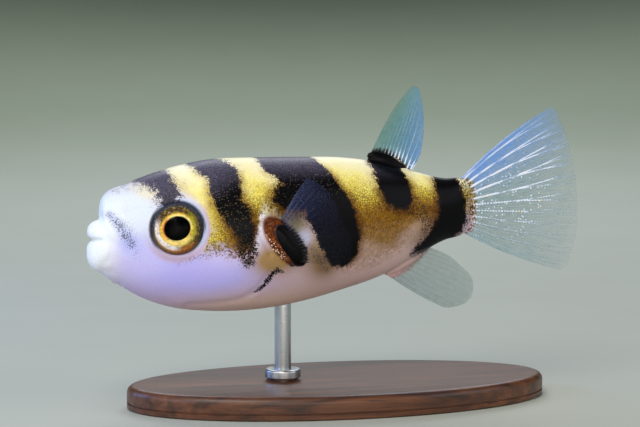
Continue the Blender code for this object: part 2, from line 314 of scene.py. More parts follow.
# Lips: section's middle (s, h), half sizes forwards, up and down, and how square it is up and down
lips = {
    "upper": {"middle": (1.9, 10.8), "halfWidth": 2.3, "sweep": 1.5, "radii": (1.72, 1.45, 0.98),
              "square": (2.0, 3.6)},
    "lower": {"middle": (2.1, 7.9), "halfWidth": 2.6, "sweep": 1.6, "radii": (2.0, 1.74, 2.45),
              "square": (3.4, 2.1)},
    "endSize": 0.40,  # size at the corner of the mouth, against the middle
    "mouthHeight": 9.7,
    "turn": 70.0,  # degrees that a lip's section turns towards its corner
}

# Flesh that fills the creases behind the lips, and the fleshy roots of the fins: centre (s, y, h), half
# sizes, and slope of the long side in degrees
fillers = (
    ((4.35, 0.0, 5.75), (4.2, 2.7, 1.72), -30.5),  # chin
    ((3.6, 1.55, 7.7), (2.6, 1.7, 2.2), 0.0),  # side of the lower lip
    ((3.4, 1.45, 10.8), (2.3, 1.7, 1.4), 8.0),  # side of the upper lip
)
roots = {
    "pectoral": ((24.4, 7.65, 9.4), (3.85, 1.35, 1.7), -50.0),
    "dorsal": ((40.6, 0.0, 19.35), (3.05, 0.85, 1.1), -21.0),
    "anal": ((43.4, 0.0, 6.0), (3.6, 0.8, 0.65), 31.0),
}


def loftBody():
    s, back, belly, half, wide, upper, lower = spline(
        stationKnots, stations, np.linspace(0.0, stationKnots[-1], body["rings"])).T[:, :, None]
    angle = fullTurn(body["sides"])[None, :]
    up = np.sin(angle)
    power = 2 / np.where(up >= 0, upper, lower)
    reach = np.where(up >= 0, back - wide, wide - belly)
    y = half * signedPower(np.cos(angle), power)
    h = wide + reach * signedPower(up, power)
    points = np.stack((s + 0 * y, y, h), axis=-1).reshape(-1, 3)
    return points, gridFaces(body["rings"], body["sides"])


def rollLip(shape, steps=48, sides=36):
    # A roll of flesh from one corner of the mouth to the other
    u = np.linspace(-1.0, 1.0, steps)[:, None]
    angle = fullTurn(sides)[None, :]
    size = lips["endSize"] + (1 - lips["endSize"]) * np.cos(u * math.pi / 2)
    above = np.sin(angle) >= 0
    power = 2 / np.where(above, *shape["square"])
    out = shape["radii"][0] * size * signedPower(np.cos(angle), power)
    up = np.where(above, *shape["radii"][1:]) * size * signedPower(np.sin(angle), power)
    turn = np.radians(lips["turn"]) * u
    s = shape["middle"][0] + shape["sweep"] * (1 - np.cos(u * math.pi / 2)) - out * np.cos(turn)
    y = shape["halfWidth"] * np.sin(u * math.pi / 2) + out * np.sin(turn)
    h = shape["middle"][1] + (lips["mouthHeight"] - shape["middle"][1]) * (1 - size) + up
    return np.stack((s, y, h), axis=-1).reshape(-1, 3), gridFaces(steps, sides)


def stretchBall(centre, radii, slope, side=1.0, rings=28, sides=44):
    # A stretched ball; slope raises its rear end, in degrees, and side -1 mirrors its place
    polar = np.linspace(0.0, math.pi, rings + 2)[1:-1, None]
    angle = fullTurn(sides)[None, :]
    lengthways = radii[0] * np.sin(polar) * np.cos(angle)
    across = radii[1] * np.sin(polar) * np.sin(angle)
    upwards = radii[2] * np.cos(polar)
    lift = math.radians(slope)
    points = np.stack((
        centre[0] + lengthways * math.cos(lift) - upwards * math.sin(lift),
        centre[1] * side + across,
        centre[2] + lengthways * math.sin(lift) + upwards * math.cos(lift)), axis=-1)
    return points.reshape(-1, 3), gridFaces(rings, sides)


def joinShells(shells):
    points, faces, start = [], [], 0
    for shellPoints, shellFaces in shells:
        points.append(shellPoints)
        faces += [tuple(i + start for i in face) for face in shellFaces]
        start += len(shellPoints)
    return np.concatenate(points), faces


def eyeAxes(side):
    # The eye's own directions in the world: outwards, rearwards and upwards
    forward, upward = math.radians(eye["forward"]), math.radians(eye["upward"])
    out = np.array((-math.sin(forward), side, math.sin(upward)))
    out /= np.linalg.norm(out)
    up = np.array((0.0, 0.0, 1.0)) - out[2] * out
    up /= np.linalg.norm(up)
    rear = np.cross(out, up) * side
    return out, rear, up


def eyeCoordinates(points, side):
    # How far out, rearwards and upwards points lie from the eye's centre, in mm
    offset = points - (eye["s"], side * eye["y"], eye["h"])
    out, rear, up = eyeAxes(side)
    return offset @ out, offset @ rear, offset @ up


def relax(points, edges, share, passes, back=1.04):
    # Moves points a share of the way to the middle of their neighbours, and each second pass back
    count = np.bincount(edges.ravel(), minlength=len(points))[:, None]
    share = np.broadcast_to(np.asarray(share, float), len(points))[:, None]
    for step in range(passes):
        total = np.zeros_like(points)
        for axis in range(3):
            for here, there in (edges.T, edges.T[::-1]):
                total[:, axis] += np.bincount(here, points[there, axis], len(points))
        pull = total / count - points
        points = points + pull * share * (-back if back and step % 2 else 1.0)
    return points


# Folds and rims pressed into the skin, in mm: their line (s, h), width, and depth (a rim's is negative)
folds = {
    "gillCover": (((12.6, 1.3), (16.3, 1.6), (18.9, 2.0), (20.7, 3.1), (21.6, 4.4), (22.6, 5.6)), 0.5, 0.14),
    "gillSlit": (((20.9, 13.4), (20.7, 12.0), (21.3, 10.0), (22.4, 8.0)), 0.35, 0.30),
    "nostril": (((4.9, 14.1), (5.5, 14.3)), 0.42, -0.13),
    "nostrilFront": (((4.75, 14.02), (4.85, 14.06)), 0.17, 0.12),
    "nostrilRear": (((5.55, 14.32), (5.65, 14.36)), 0.17, 0.12),
    "mouthCorner": (((2.6, 9.7), (3.6, 9.2), (4.3, 8.2)), 0.5, 0.10),
    "muzzle": (((1.6, 12.3), (2.9, 12.6), (4.2, 13.2)), 0.45, 0.08),
}
eyeRim = {
    "meets": 3.38,  # radius where the skin meets the ball
    "level": (0.80, 1.12),  # least and most that the skin stands out there, from the ball's centre
    "reach": 4.7,  # radius where the face takes over again
    "edge": 0.15,  # how soft the meeting is
    "tuck": 1.6,  # how steeply the skin dips behind the ball's edge
    "deepest": -0.6, "behind": -1.5,  # lowest level it dips to, and lowest that is moved at all
    "roll": 0.10, "rollWidth": 0.22, "rollRadius": 3.66,
}
cheek = {"s": 15.0, "h": 6.0, "radiusS": 5.0, "radiusH": 4.0, "rise": 0.22}
# Small flaps of skin under the chin: place (s, y, h), and how far they hang
flaps = {
    "places": ((2.7, -0.7, 4.6, 0.5), (3.2, -0.2, 4.3, 0.7), (3.5, -0.9, 4.2, 0.55), (4.1, -0.4, 3.8, 0.6),
               (4.6, -1.0, 3.6, 0.4), (2.9, 0.6, 4.5, 0.5), (3.6, 0.4, 4.1, 0.6), (4.3, 0.9, 3.8, 0.45)),
    "radius": 0.2, "way": (0.45, 0.0, -0.9),
}


def shapeSkin(points, normals, side):
    # The folds, rims and swellings of one side of the fish; returns the moved points
    s, y, h = points.T
    rise = cheek["rise"] * blob(s, h, cheek["s"], cheek["h"], cheek["radiusS"], cheek["radiusH"])
    for line, width, depth in folds.values():
        gap = chainDistance([(*place, 0.0) for place in line], s, h)
        rise = rise - depth * np.exp(-(gap / width) ** 2)
    moved = points + normals * (rise * smooth(*body["onSide"], y * side))[:, None]

    out, rear, up = eyeCoordinates(moved, side)
    radius = np.hypot(rear, up)
    near = smooth(eyeRim["reach"], eyeRim["meets"] + eyeRim["edge"], radius) * (out > eyeRim["behind"])
    level = np.clip(out, *eyeRim["level"]) + eyeRim["roll"] * np.exp(
        -((radius - eyeRim["rollRadius"]) / eyeRim["rollWidth"]) ** 2)
    level = level - eyeRim["tuck"] * np.maximum(eyeRim["meets"] - radius, 0.0)
    level = np.maximum(level, eyeRim["deepest"])
    return moved + eyeAxes(side)[0] * ((level - out) * near)[:, None]


def makeSkinMesh():
    # One closed skin round the body, the lips, the flesh behind them and the roots of the fins
    shells = [loftBody(), rollLip(lips["upper"]), rollLip(lips["lower"])]
    shells += [stretchBall(*root) for root in roots.values()]
    shells.append(stretchBall(*roots["pectoral"], side=-1.0))
    shells += [stretchBall(*filler, side=side) for _, _, side in leftAndRight for filler in fillers]
    points, faces = joinShells(shells)
    skin = newObject("skin", toWorld(points), faces)
    remesh = skin.modifiers.new("oneSkin", "REMESH")
    remesh.mode = "VOXEL"
    remesh.voxel_size = body["voxelMm"] * mm
    remesh.use_smooth_shade = True
    evaluated = skin.evaluated_get(bpy.context.evaluated_depsgraph_get())
    mesh = bpy.data.meshes.new_from_object(evaluated)
    skin.modifiers.clear()
    skin.data = mesh
    return skin


# Markings on both flanks, in mm; they meet over the back. A stroke is points (s, h, half width)
markings = {
    "bars": {
        "eyeBar": ((2.6, 16.7, 0.2), (5.2, 17.5, 0.55), (7.4, 17.9, 1.15), (9.0, 17.6, 1.3),
                   (9.6, 16.2, 1.3), (9.9, 14.8, 1.3)),
        "napeBar": ((14.0, 20.2, 1.5), (15.6, 19.0, 1.7), (16.9, 17.9, 1.95), (16.9, 16.4, 2.0),
                    (17.1, 14.7, 1.9), (18.1, 13.0, 1.85), (18.9, 11.5, 1.55), (19.3, 10.0, 1.0)),
        "saddle": ((25.3, 20.6, 3.5), (27.8, 18.0, 2.8), (29.4, 16.0, 2.8), (30.6, 13.4, 3.35),
                   (31.9, 10.2, 3.1), (32.2, 8.4, 2.5)),
        "saddleLobe": ((24.7, 15.1, 1.75), (26.6, 15.6, 2.1), (28.6, 15.6, 2.6)),
        "finBar": ((39.6, 19.6, 2.2), (40.1, 17.6, 2.35), (40.7, 15.6, 2.3), (41.3, 14.6, 1.6)),
        "tailBar": ((48.5, 17.6, 1.85), (48.9, 15.5, 2.15), (49.1, 13.4, 2.35), (49.2, 11.6, 2.55),
                    (48.4, 10.4, 2.3), (46.4, 9.0, 1.45), (44.0, 7.3, 0.55)),
    },
    # These bars have softer edges: wider by one over this
    "softer": {"eyeBar": 0.45, "napeBar": 0.85, "saddleLobe": 0.6, "finBar": 0.7, "tailBar": 0.65},
    # Loose dark dots: the stroke, how full it is, and over how many mm it fades
    "stipple": {
        "napeTail": (((19.1, 10.0, 1.1), (19.4, 8.5, 1.3), (19.5, 7.1, 0.7)), 0.78, 0.9),
        "finBarTail": (((42.4, 13.2, 0.8), (44.4, 12.8, 1.1), (45.2, 11.2, 0.9), (44.9, 9.7, 0.7)), 0.5, 0.9),
        "behindRoot": (((27.7, 9.0, 0.2), (28.8, 7.6, 0.6), (30.4, 5.8, 0.6)), 0.40, 0.9),
        "snout": (((2.6, 13.0, 0.35), (3.5, 12.0, 0.5), (4.4, 10.6, 0.7), (5.2, 9.3, 0.5)), 0.46, 0.9),
        "snoutLow": (((4.6, 12.0, 0.5), (5.4, 10.6, 0.5), (5.7, 8.9, 0.5), (5.7, 7.7, 0.4)), 0.27, 0.9),
        "cheek": (((10.6, 6.9, 0.2), (13.2, 7.8, 0.4), (15.6, 8.5, 0.5), (17.6, 9.0, 0.6)), 0.36, 0.9),
        "gillStreak": (((24.2, 5.6, 0.02), (23.4, 5.9, 0.22), (22.8, 5.4, 0.28), (22.0, 4.2, 0.26),
                        (21.2, 3.3, 0.14), (20.2, 2.7, -0.2)), 0.95, 0.45),
        "streakEnd": (((23.4, 6.2, 0.2), (24.8, 5.6, 0.3)), 0.3, 0.9),
        "tailEnd": (((51.0, 17.2, 1.1), (51.6, 13.4, 1.2), (51.0, 10.6, 0.9)), 0.5, 0.9),
        "belly": (((30.6, 6.0, 0.5), (33.8, 5.4, 0.6), (37.4, 6.2, 0.8), (42.0, 8.6, 0.8)), 0.24, 0.9),
    },
    "smudge": ("#a4b1ea", (0.6, -0.5), 0.55),  # blue grey round the snout's dots: colour, mm, strength
    # Tables. The lower edge of the gold (s, h), its front edge (h, s), and how far below the back, in
    # mm, it has turned brown (s, mm)
    "goldLow": ((9.0, 15.5), (12.6, 11.0), (13.4, 8.8), (16.0, 8.9), (18.2, 7.9), (19.6, 7.5), (20.6, 10.6),
                (21.6, 14.2), (24.0, 13.2), (26.4, 13.0), (28.6, 12.0), (30.6, 7.2), (33.8, 5.9),
                (37.4, 6.7), (40.3, 8.0), (42.5, 9.2), (44.8, 10.2), (46.3, 10.8), (52.5, 10.8)),
    "goldFront": ((6.0, 10.5), (8.0, 13.0), (11.0, 14.2), (13.0, 14.2), (14.6, 13.3), (16.0, 11.6),
                  (17.2, 10.2), (20.0, 8.6)),
    "goldDepth": ((11.0, 27.0), (15.0, 25.0), (18.0, 16.5), (21.5, 15.0), (24.0, 13.5), (28.0, 13.5),
                  (33.0, 12.2), (40.0, 11.3), (44.0, 6.6)),
    # How strong, at each depth, are the brown lines between the gold granules, and the dots at its edge
    "lines": ((0.0, 0.0), (0.1, 0.12), (0.45, 0.8), (0.75, 0.7), (1.0, 0.35)),
    "fading": ((0.1, 0.04), (0.3, 0.30), (0.45, 0.44), (0.65, 0.42), (0.9, 0.24)),
    "fadingMm": ((-2.2, 0.2), (3.0, 0.2)),  # where those dots lie, outside and inside the edge
    # The gold stops short of the tail fin, by 6 mm more below than on top
    "goldEnd": (50.6, 52.4), "goldEndLow": (17.5, 14.0), "goldEndMm": 6.0,
    # Pale flecks on the black: strength, depth that they reach, from where to where along the back
    "fleck": 0.6, "fleckDepth": (0.55, 0.1), "fleckFront": (22.0, 20.0), "fleckRear": (38.0, 33.0),
    "softness": 0.55,  # how far inside its edge a patch of loose dots is full, as a share of its fade
    "patchGain": 1.35,  # the ground's patches are full for some way round their middle
    "variation": 0.28,  # how far, in mm, the right flank's markings differ from the left's
}

# The ground colour of the skin, laid on in turn: colour, middle (s, h), radii in mm and strength
groundTones = (
    ("#cfb3ae", None),  # belly
    ("#c9b0d4", (9.0, 2.2, 11.0, 4.2, 0.85)),  # throat and jaw, mauve
    ("#b6b3fa", (13.5, 6.0, 8.5, 4.0, 0.95)),  # cheek, lilac: partly its own colour, partly painted blue shade
    ("#d9cfee", (17.0, 9.0, 4.0, 2.6, 0.5)),  # cheek's paler rear
    ("#dde8f8", (4.5, 13.2, 5.2, 4.2, 1.0)),  # forehead and muzzle
    ("#f4faff", (1.5, 9.5, 2.9, 4.8, 1.0)),  # lips
    ("#dfe6f6", (12.6, 15.4, 2.2, 1.6, 0.7)),  # behind the brow
    ("#c9c6ff", (6.2, 7.2, 3.0, 2.6, 0.75)),  # below the muzzle: partly its own colour, partly painted blue shade
    ("#efe8c0", (7.4, 16.0, 1.7, 0.9, 0.6)),  # under the eye bar
    ("#bfc4ff", (5.2, 9.2, 1.8, 1.4, 0.7)),  # corner of the mouth: partly its own colour, partly painted blue shade
    ("#e8c8b2", (22.0, 0.6, 12.0, 2.2, 0.75)),  # underneath: warm, and painted lighter where the belly lies in shade
    ("#d6d29c", (21.8, 13.8, 1.5, 1.1, 0.8)),  # over the gill slit
    ("#a09c62", (26.0, 11.5, 1.1, 1.0, 0.85)),  # behind the top of the pectoral fin's root
    ("#5d5a24", (25.1, 13.2, 2.1, 1.4, 0.95)),  # above the root
    ("#b09468", (28.6, 8.4, 1.4, 1.9, 0.9)),  # behind it
    ("#7e6238", (30.0, 6.5, 2.2, 2.0, 0.9)),  # brown under the saddle
    ("#d6daf6", (27.0, 9.9, 0.9, 1.0, 0.95)),  # pale notch behind the root
    ("#eef0fb", (21.0, 12.0, 1.0, 1.6, 0.9)),  # gill slit's front edge: painted highlight on its ridge
    ("#dfe0f8", (20.2, 9.6, 1.2, 1.3, 0.8)),  # lower down the same edge, painted highlight
    ("#9c7c3e", (22.9, 7.1, 3.0, 1.9, 0.95)),  # warm flesh below the root
    ("#86705e", (44.6, 9.6, 2.6, 1.7, 0.75)),  # under the last gold
    ("#c6b2c4", (52.0, 11.2, 1.8, 1.8, 0.9)),  # foot of the tail fin, below
    ("#c4ab78", (52.0, 14.2, 1.6, 1.9, 0.9)),  # and above
)
# Rims of the eyelid: colour, where it ends and is full in mm from the eye's middle, and strength
eyelid = {
    "low": ("#c0a6b4", (4.6, 4.0), 0.7),  # pink painted shade, below and in front
    "high": ("#b9cdf2", (4.0, 3.62), 0.8),  # pale blue rim painted as lit from above, above and behind
    "inner": ("#2a3348", (3.68, 3.50), 0.9),  # dark, except below
    "bare": (4.35, 3.85), "bareMm": 3.0,  # the gold keeps clear of the eye
    "front": -1.0,  # the rims lie further out than this
}
# Colours of the roots of the fins. Places are shares of a root's half sizes, along it and across it
rootMarks = {
    "outMm": 7.2,  # the pectoral root's colours lie this far out from the middle
    "edge": 0.92, "shareMm": 1.7,  # its edge, and how many mm a share is
    "rustMm": (0.45, 0.15), "blackMm": 0.35,  # how far past the edge the rust and the black go
    "hind": (0.30, 0.24), "hindSize": (0.95, 0.84), "hindEdge": (0.85, 1.3),  # the black hind part
    "rustEnd": (0.8, 0.2), "rustGapMm": 2.4,  # in front of it the rust is free of black
    # Specks along the root's lower front edge: orange grains, and pale specks that are painted glints
    "specks": 0.45, "speckLow": (-0.45, -0.85), "speckRear": (0.75, 0.1), "speckFront": (-0.9, -0.5),
    "clearMm": 9.0,  # a distance at which nothing shows
    "dorsalShareMm": 1.2, "dorsalFrom": 18.6,  # the dorsal root is black from this height up
    "sheenMm": (0.0, 0.9), "sheenDepth": (0.25, 0.0), "sheenRear": (46.0, 30.0),  # painted grey highlight on the black of the back
}


def rootShare(s, h, name):
    # Places within a fin's root: along its long side, and across it, in shares of its half sizes
    centre, radii, slope = roots[name]
    lift = math.radians(slope)
    ds, dh = s - centre[0], h - centre[2]
    return ((ds * math.cos(lift) + dh * math.sin(lift)) / radii[0],
            (-ds * math.sin(lift) + dh * math.cos(lift)) / radii[2])


def readMark(name, x):
    # One of the markings' tables, read at x
    return np.interp(x, *np.array(markings[name]).T)


def markRoots(s, y, h, bar, depth):
    # The bars' distance with the black of the roots added, then the rust, its specks and the painted grey
    # highlight on the back
    marks = rootMarks
    longWay, across = rootShare(s, h, "pectoral")
    outside = np.abs(y) > marks["outMm"]
    edgeGap = (np.hypot(longWay, across) - marks["edge"]) * marks["shareMm"]
    hindShare = np.hypot((longWay - marks["hind"][0]) / marks["hindSize"][0],
                         (across - marks["hind"][1]) / marks["hindSize"][1])
    rustOnly = smooth(*marks["hindEdge"], hindShare) * smooth(*marks["rustEnd"], longWay)
    rootBar = edgeGap - marks["blackMm"] + marks["rustGapMm"] * rustOnly
    bar = np.minimum(bar, np.where(outside, rootBar, marks["clearMm"]))
    specks = (marks["specks"] * smooth(*marks["speckLow"], across) * smooth(*marks["speckRear"], longWay)
              * smooth(*marks["speckFront"], longWay))
    lobe = (np.hypot(*rootShare(s, h, "dorsal")) - 1.0) * marks["dorsalShareMm"]
    bar = np.minimum(bar, np.where(h > marks["dorsalFrom"], lobe, marks["clearMm"]))
    shiny = (smooth(*marks["sheenMm"], lobe) * smooth(*marks["sheenDepth"], depth)
             * smooth(*marks["sheenRear"], s))
    return bar, smooth(*marks["rustMm"], edgeGap) * outside, specks * outside, shiny


def markSkin(mesh):
    # Writes where each marking lies as smooth numbers on the skin's points
    s, y, h = readLocal(mesh).T
    back = np.interp(s, stations[3:, 0], stations[3:, 1])
    depth = np.clip((back - h) / readMark("goldDepth", s), 0.0, 1.0)
    wobble = markings["variation"] * smooth(0.0, 3.0, y)
    sBar = s + wobble * np.sin(h * 0.9 + s * 0.35)
    hBar = h + wobble * np.cos(s * 0.7)
    bar = np.min([chainDistance(stroke, sBar, hBar) * markings["softer"].get(name, 1.0)
                  for name, stroke in markings["bars"].items()], axis=0)
    bar, rust, specks, shiny = markRoots(s, y, h, bar, depth)
    loose = np.zeros_like(s)
    for stroke, full, fade in markings["stipple"].values():
        ends = (fade, -markings["softness"] * fade)
        loose = np.maximum(loose, full * smooth(*ends, chainDistance(stroke, sBar, hBar)))

    # The gold ends below, in front, round the eye and at the tail fin's foot
    golden = np.minimum(h - readMark("goldLow", sBar), sBar - readMark("goldFront", hBar))
    golden = golden - (markings["goldEndMm"] * smooth(*markings["goldEnd"], s)
                       * smooth(*markings["goldEndLow"], h))
    out, rear, up = eyeCoordinates(np.column_stack((s, np.abs(y), h)), 1.0)
    radius = np.hypot(rear, up)
    facing = out > eyelid["front"]
    golden = golden - eyelid["bareMm"] * smooth(*eyelid["bare"], radius) * facing

    tone = np.zeros((len(s), 3)) + linear(groundTones[0][0])
    for colour, (*patch, strength) in groundTones[1:]:
        tone = lay(tone, colour, np.minimum(blob(s, h, *patch) * markings["patchGain"], 1.0) * strength)
    colour, reach, strength = markings["smudge"]
    smudge = chainDistance(markings["stipple"]["snout"][0], sBar, hBar)
    tone = lay(tone, colour, smooth(*reach, smudge) * strength)
    rear, up = rear / np.maximum(radius, 0.1), up / np.maximum(radius, 0.1)
    # The eyelid's rims: painted shade below, a pale blue painted highlight above, and a dark inner rim
    for name, share in (("low", smooth(0.5, -0.8, up - 0.55 * rear)), ("high", smooth(-0.5, 0.6, up + rear)),
                        ("inner", smooth(0.5, 0.9, np.maximum(0.72 * (up + rear), -rear)))):
        colour, reach, strength = eyelid[name]
        tone = lay(tone, colour, smooth(*reach, radius) * facing * share * strength)

    deepest, full = markings["fleckDepth"]
    deepest = deepest + (1 - deepest) * smooth(*markings["fleckFront"], s)
    flecks = markings["fleck"] * smooth(deepest, full, depth) * smooth(*markings["fleckRear"], s)
    fading = np.prod([readMark("fading", depth)] + [smooth(*ends, golden) for ends in markings["fadingMm"]],
                     axis=0)
    for name, values in (
            ("tone", tone), ("bar", bar), ("golden", golden), ("depth", depth), ("shiny", shiny),
            ("flecks", flecks), ("loose", loose), ("lines", readMark("lines", depth)), ("fading", fading),
            ("rust", rust), ("specks", specks)):
        writeAttribute(mesh, name, values)


skinFinish = {
    "shader": {"Roughness": 0.42, "IOR": 1.34, "Specular IOR Level": 0.12, "Coat Weight": 0.04,
               "Coat Roughness": 0.18, "Subsurface Weight": 0.12, "Subsurface Radius": (1.0, 0.45, 0.35),
               "Subsurface Scale": 0.0005},
    "dotMm": 0.145,  # spacing of the dark pigment cells, drawn coarser than the real 0.1 mm to show
    "speckMm": 0.30,  # spacing of specks and prickles
    "grainMm": 0.30,  # spacing of the gold granules
    "edgeMm": (0.80, -0.50),  # where a bar's dots start, outside its edge, and where they have closed up
    "wanderMm": 0.26,  # how far a bar's edge wanders
    "black": "#050507", "sheen": "#565368", "fleck": "#8d8494", "goldFleck": "#a8945c", "brown": "#54330c",
    "dotBrown": "#40270f", "dotGrey": "#3a3746", "fading": "#4a3216", "halo": "#8a5210",
    "rust": "#6e3615", "darkRust": "#25110a", "orange": "#c87436", "pale": "#ffe9d4",
    "mottle": "#9382b4", "glint": "#fff3b0",
    # From the back down to the gold's lower edge
    "gold": ((0.0, "#fdf8d6"), (0.12, "#f6eeba"), (0.21, "#f3e898"), (0.30, "#e8d96e"), (0.38, "#d6c24e"),
             (0.475, "#b99b30"), (0.57, "#99761b"), (0.70, "#84611a"), (0.85, "#8a6c44"), (1.0, "#a98f84")),
}


def makeSkinMaterial():
    # Living fish skin, moist and smooth: pale flesh, gold granules and black pigment cells. It gives
    # the eye soft wide highlights, and bars whose edges break up into dots.
    look = skinFinish
    colours = {name: rgba(value) for name, value in look.items() if isinstance(value, str)}
    material, shader, add, place = newMaterial("moistFishSkin", look["shader"])
    mark = {name: add("Attribute", attribute_name=name) for name in (
        "tone", "bar", "golden", "depth", "shiny", "flecks", "loose", "lines", "fading", "rust", "specks")}
    dots = add("TexVoronoi", place, 1 / look["dotMm"])
    specks = add("TexVoronoi", place, 1 / look["speckMm"])
    granules = add("TexVoronoi", place, 1 / look["grainMm"])
    gaps = add("TexVoronoi", place, 1 / look["grainMm"], feature="DISTANCE_TO_EDGE")
    wander = add("TexNoise", place, 0.9, 4.0, 0.6)
    fine = add("TexNoise", place, 3.2, 3.0, 0.65)
    broad = add("TexNoise", place, 0.22, 2.0)

    # Gold: cream on the back, through yellow and gold to bronze low on the flank
    depth = add("Math", mark["depth"], add("MapRange", broad, 0.3, 0.7, -0.08, 0.08))
    gold = add("ValToRGB", depth)
    fillRamp(gold.color_ramp, look["gold"])
    # Brown lines run between the granules, wider low on the flank
    line = add("Math SUBTRACT", add("MapRange", mark["lines"], 0.0, 0.8, 0.0, 0.16), gaps)
    line = add("Math MULTIPLY", add("MapRange", line, -0.04, 0.04), mark["lines"])
    gold = add("Mix RGBA", line, gold, colours["brown"])
    glint = add("MapRange", granules.outputs["Color"], 0.35, 0.9, 0.0, 0.5)
    gold = add("Mix RGBA", glint, gold, colours["glint"], blend_type="SOFT_LIGHT")

    # Where the gold lies: it fades softly on the back, and thins out into single granules below
    cover = add("Math", mark["golden"], add("MapRange", wander, 0.3, 0.7, -0.8, 0.8))
    grainy = add("Math SUBTRACT", add("MapRange", cover, -1.8, 1.1), granules)
    grainy = add("Math MULTIPLY", add("MapRange", grainy, -0.35, 0.30), add("MapRange", cover, -2.1, -1.1))
    cover = add("MapRange", cover, -1.3, 1.4, interpolation_type="SMOOTHSTEP")
    cover = add("Mix", add("MapRange", depth, 0.15, 0.4, 0.0, 0.55), cover, grainy)

    # Rust red at the root of the pectoral fin, with orange and dark grains, and pale specks that are painted
    # white glints along its lower edge
    redder = add("Math MULTIPLY", add("MapRange", specks.outputs["Color"], 0.50, 0.74),
                 add("MapRange", mark["specks"], 0.0, 0.3, 0.25, 1.0))
    rusty = add("Mix RGBA", redder, colours["rust"], colours["orange"])
    darker = add("Math MAXIMUM", add("MapRange", dots.outputs["Color"], 0.42, 0.30, 0.0, 0.8),
                 add("MapRange", fine, 0.54, 0.40, 0.0, 0.8))
    rusty = add("Mix RGBA", darker, rusty, colours["darkRust"])
    # Pale specks: painted white glints along the root's lower edge
    pale = add("MapRange", add("Math SUBTRACT", mark["specks"], specks), 0.02, 0.12)
    rusty = add("Mix RGBA", pale, rusty, colours["pale"])

    # Over the bars' edges there is a brown halo, if they border on gold
    edge = add("Math", mark["bar"], add("MapRange", wander, 0.3, 0.7, -look["wanderMm"], look["wanderMm"]))
    halo = add("MapRange", edge, 1.2, 0.0, 0.0, 0.65, interpolation_type="SMOOTHSTEP")
    halo = add("Math MULTIPLY", add("Math MULTIPLY", halo, cover),
               add("MapRange", depth, 0.04, 0.3, 0.15, 1.0))
    # Brown dots lie where the gold fades
    dotted = add("Math SUBTRACT", mark["fading"], specks)
    dotted = add("MapRange", dotted, -0.04, 0.10, 0.0, 0.85)
    skin = mark["tone"]
    for share, colour, blend in (
            (add("MapRange", fine, 0.4, 0.75, 0.0, 0.10), colours["mottle"], "MIX"), (cover, gold, "MIX"),
            (mark["rust"], rusty, "MIX"), (dotted, colours["fading"], "MIX"),
            (halo, colours["halo"], "MULTIPLY")):
        skin = add("Mix RGBA", share, skin, colour, blend_type=blend)

    # Black bars, made of dots at their edges: grey brown dots where loose, black where they close up
    solid = add("Math POWER", add("MapRange", edge, *look["edgeMm"]), 1.3)
    solid = add("Math MAXIMUM", solid, mark["loose"])
    uneven = add("MapRange", dots.outputs["Color"], 0.2, 0.8, 0.6, 1.5)
    size = add("Math", add("Math MULTIPLY", solid, uneven), add("MapRange", edge, 0.0, -0.7))
    dark = add("MapRange", add("Math SUBTRACT", size, dots), -0.08, 0.10)
    dark = add("Math MULTIPLY", dark, add("MapRange", solid, 0.2, 0.6, 0.72, 1.0))
    browner = add("MapRange", mark["golden"], -2.2, -0.4)
    dot = add("Mix RGBA", browner, colours["dotGrey"], colours["dotBrown"])
    # A painted grey highlight, where light from above falls on the black, and pale flecks lie on the black
    sheen = add("Math MULTIPLY", mark["shiny"], add("MapRange", specks, 0.1, 0.6, 0.45, 1.0))
    fleck = add("Math MULTIPLY", add("MapRange", dots.outputs["Color"], 0.70, 0.78),
                add("MapRange", dots, 0.5, 0.25))
    fleck = add("Math MULTIPLY", fleck, mark["flecks"])
    spot = add("Mix RGBA", add("MapRange", depth, 0.15, 0.45), colours["fleck"], colours["goldFleck"])
    black = dot
    for share, colour in ((add("MapRange", solid, 0.35, 0.85), colours["black"]),
                          (sheen, colours["sheen"]), (fleck, spot)):
        black = add("Mix RGBA", share, black, colour)
    feed(shader.inputs["Base Color"], add("Mix RGBA", dark, skin, black))

    # Fine pebbling from the granules and from tiny prickles under the skin
    feed(shader.inputs["Normal"], add("Bump", 0.3, 0.00004, None, add("Math", specks, fine)))
    return material


def makeSkin():
    skin = makeSkinMesh()
    mesh = skin.data
    edges = np.zeros(len(mesh.edges) * 2, int)
    mesh.edges.foreach_get("vertices", edges)
    edges = edges.reshape(-1, 2)
    local = relax(readLocal(mesh), edges, *body["facets"])
    # Creases behind the lips fill up, but the bulges beside them keep their size; the mouth stays open
    _, y, h = local.T
    mouth = (smooth(*body["mouthHalfHeight"], np.abs(h - lips["mouthHeight"]))
             * smooth(*body["mouthHalfWidth"], np.abs(y)))
    creases = smooth(*body["creaseEnd"], local[:, 0]) * (1 - mouth)
    share, passes = body["creases"]
    filled = relax(local, edges, share * creases, passes, 0.0) - local
    outwards = np.sum(filled * placeLocal(mesh, local), axis=1)
    local = local + filled * smooth(*body["filling"], outwards)[:, None]
    share, passes = body["filledCreases"]
    local = relax(local, edges, share * creases, passes)
    for _, _, side in leftAndRight:
        local = shapeSkin(local, placeLocal(mesh, local), side)
    local = relax(local, edges, *body["folds"])
    for *place, hang in flaps["places"]:
        gap = np.linalg.norm(local - place, axis=1)
        local = local + np.array(flaps["way"]) * (hang * np.exp(-(gap / flaps["radius"]) ** 2))[:, None]
    placeLocal(mesh, local)
    mesh.shade_smooth()
    markSkin(mesh)
    mesh.materials.append(makeSkinMaterial())
    settle(skin, "skin", "head", "trunk", "tail_stalk", "upper_lip", "lower_lip", "nostril_left",
           "nostril_right", "pectoral_root_left", "pectoral_root_right", "dorsal_root", "anal_root")
    print("skin made,", len(mesh.polygons), "faces")
    return skin


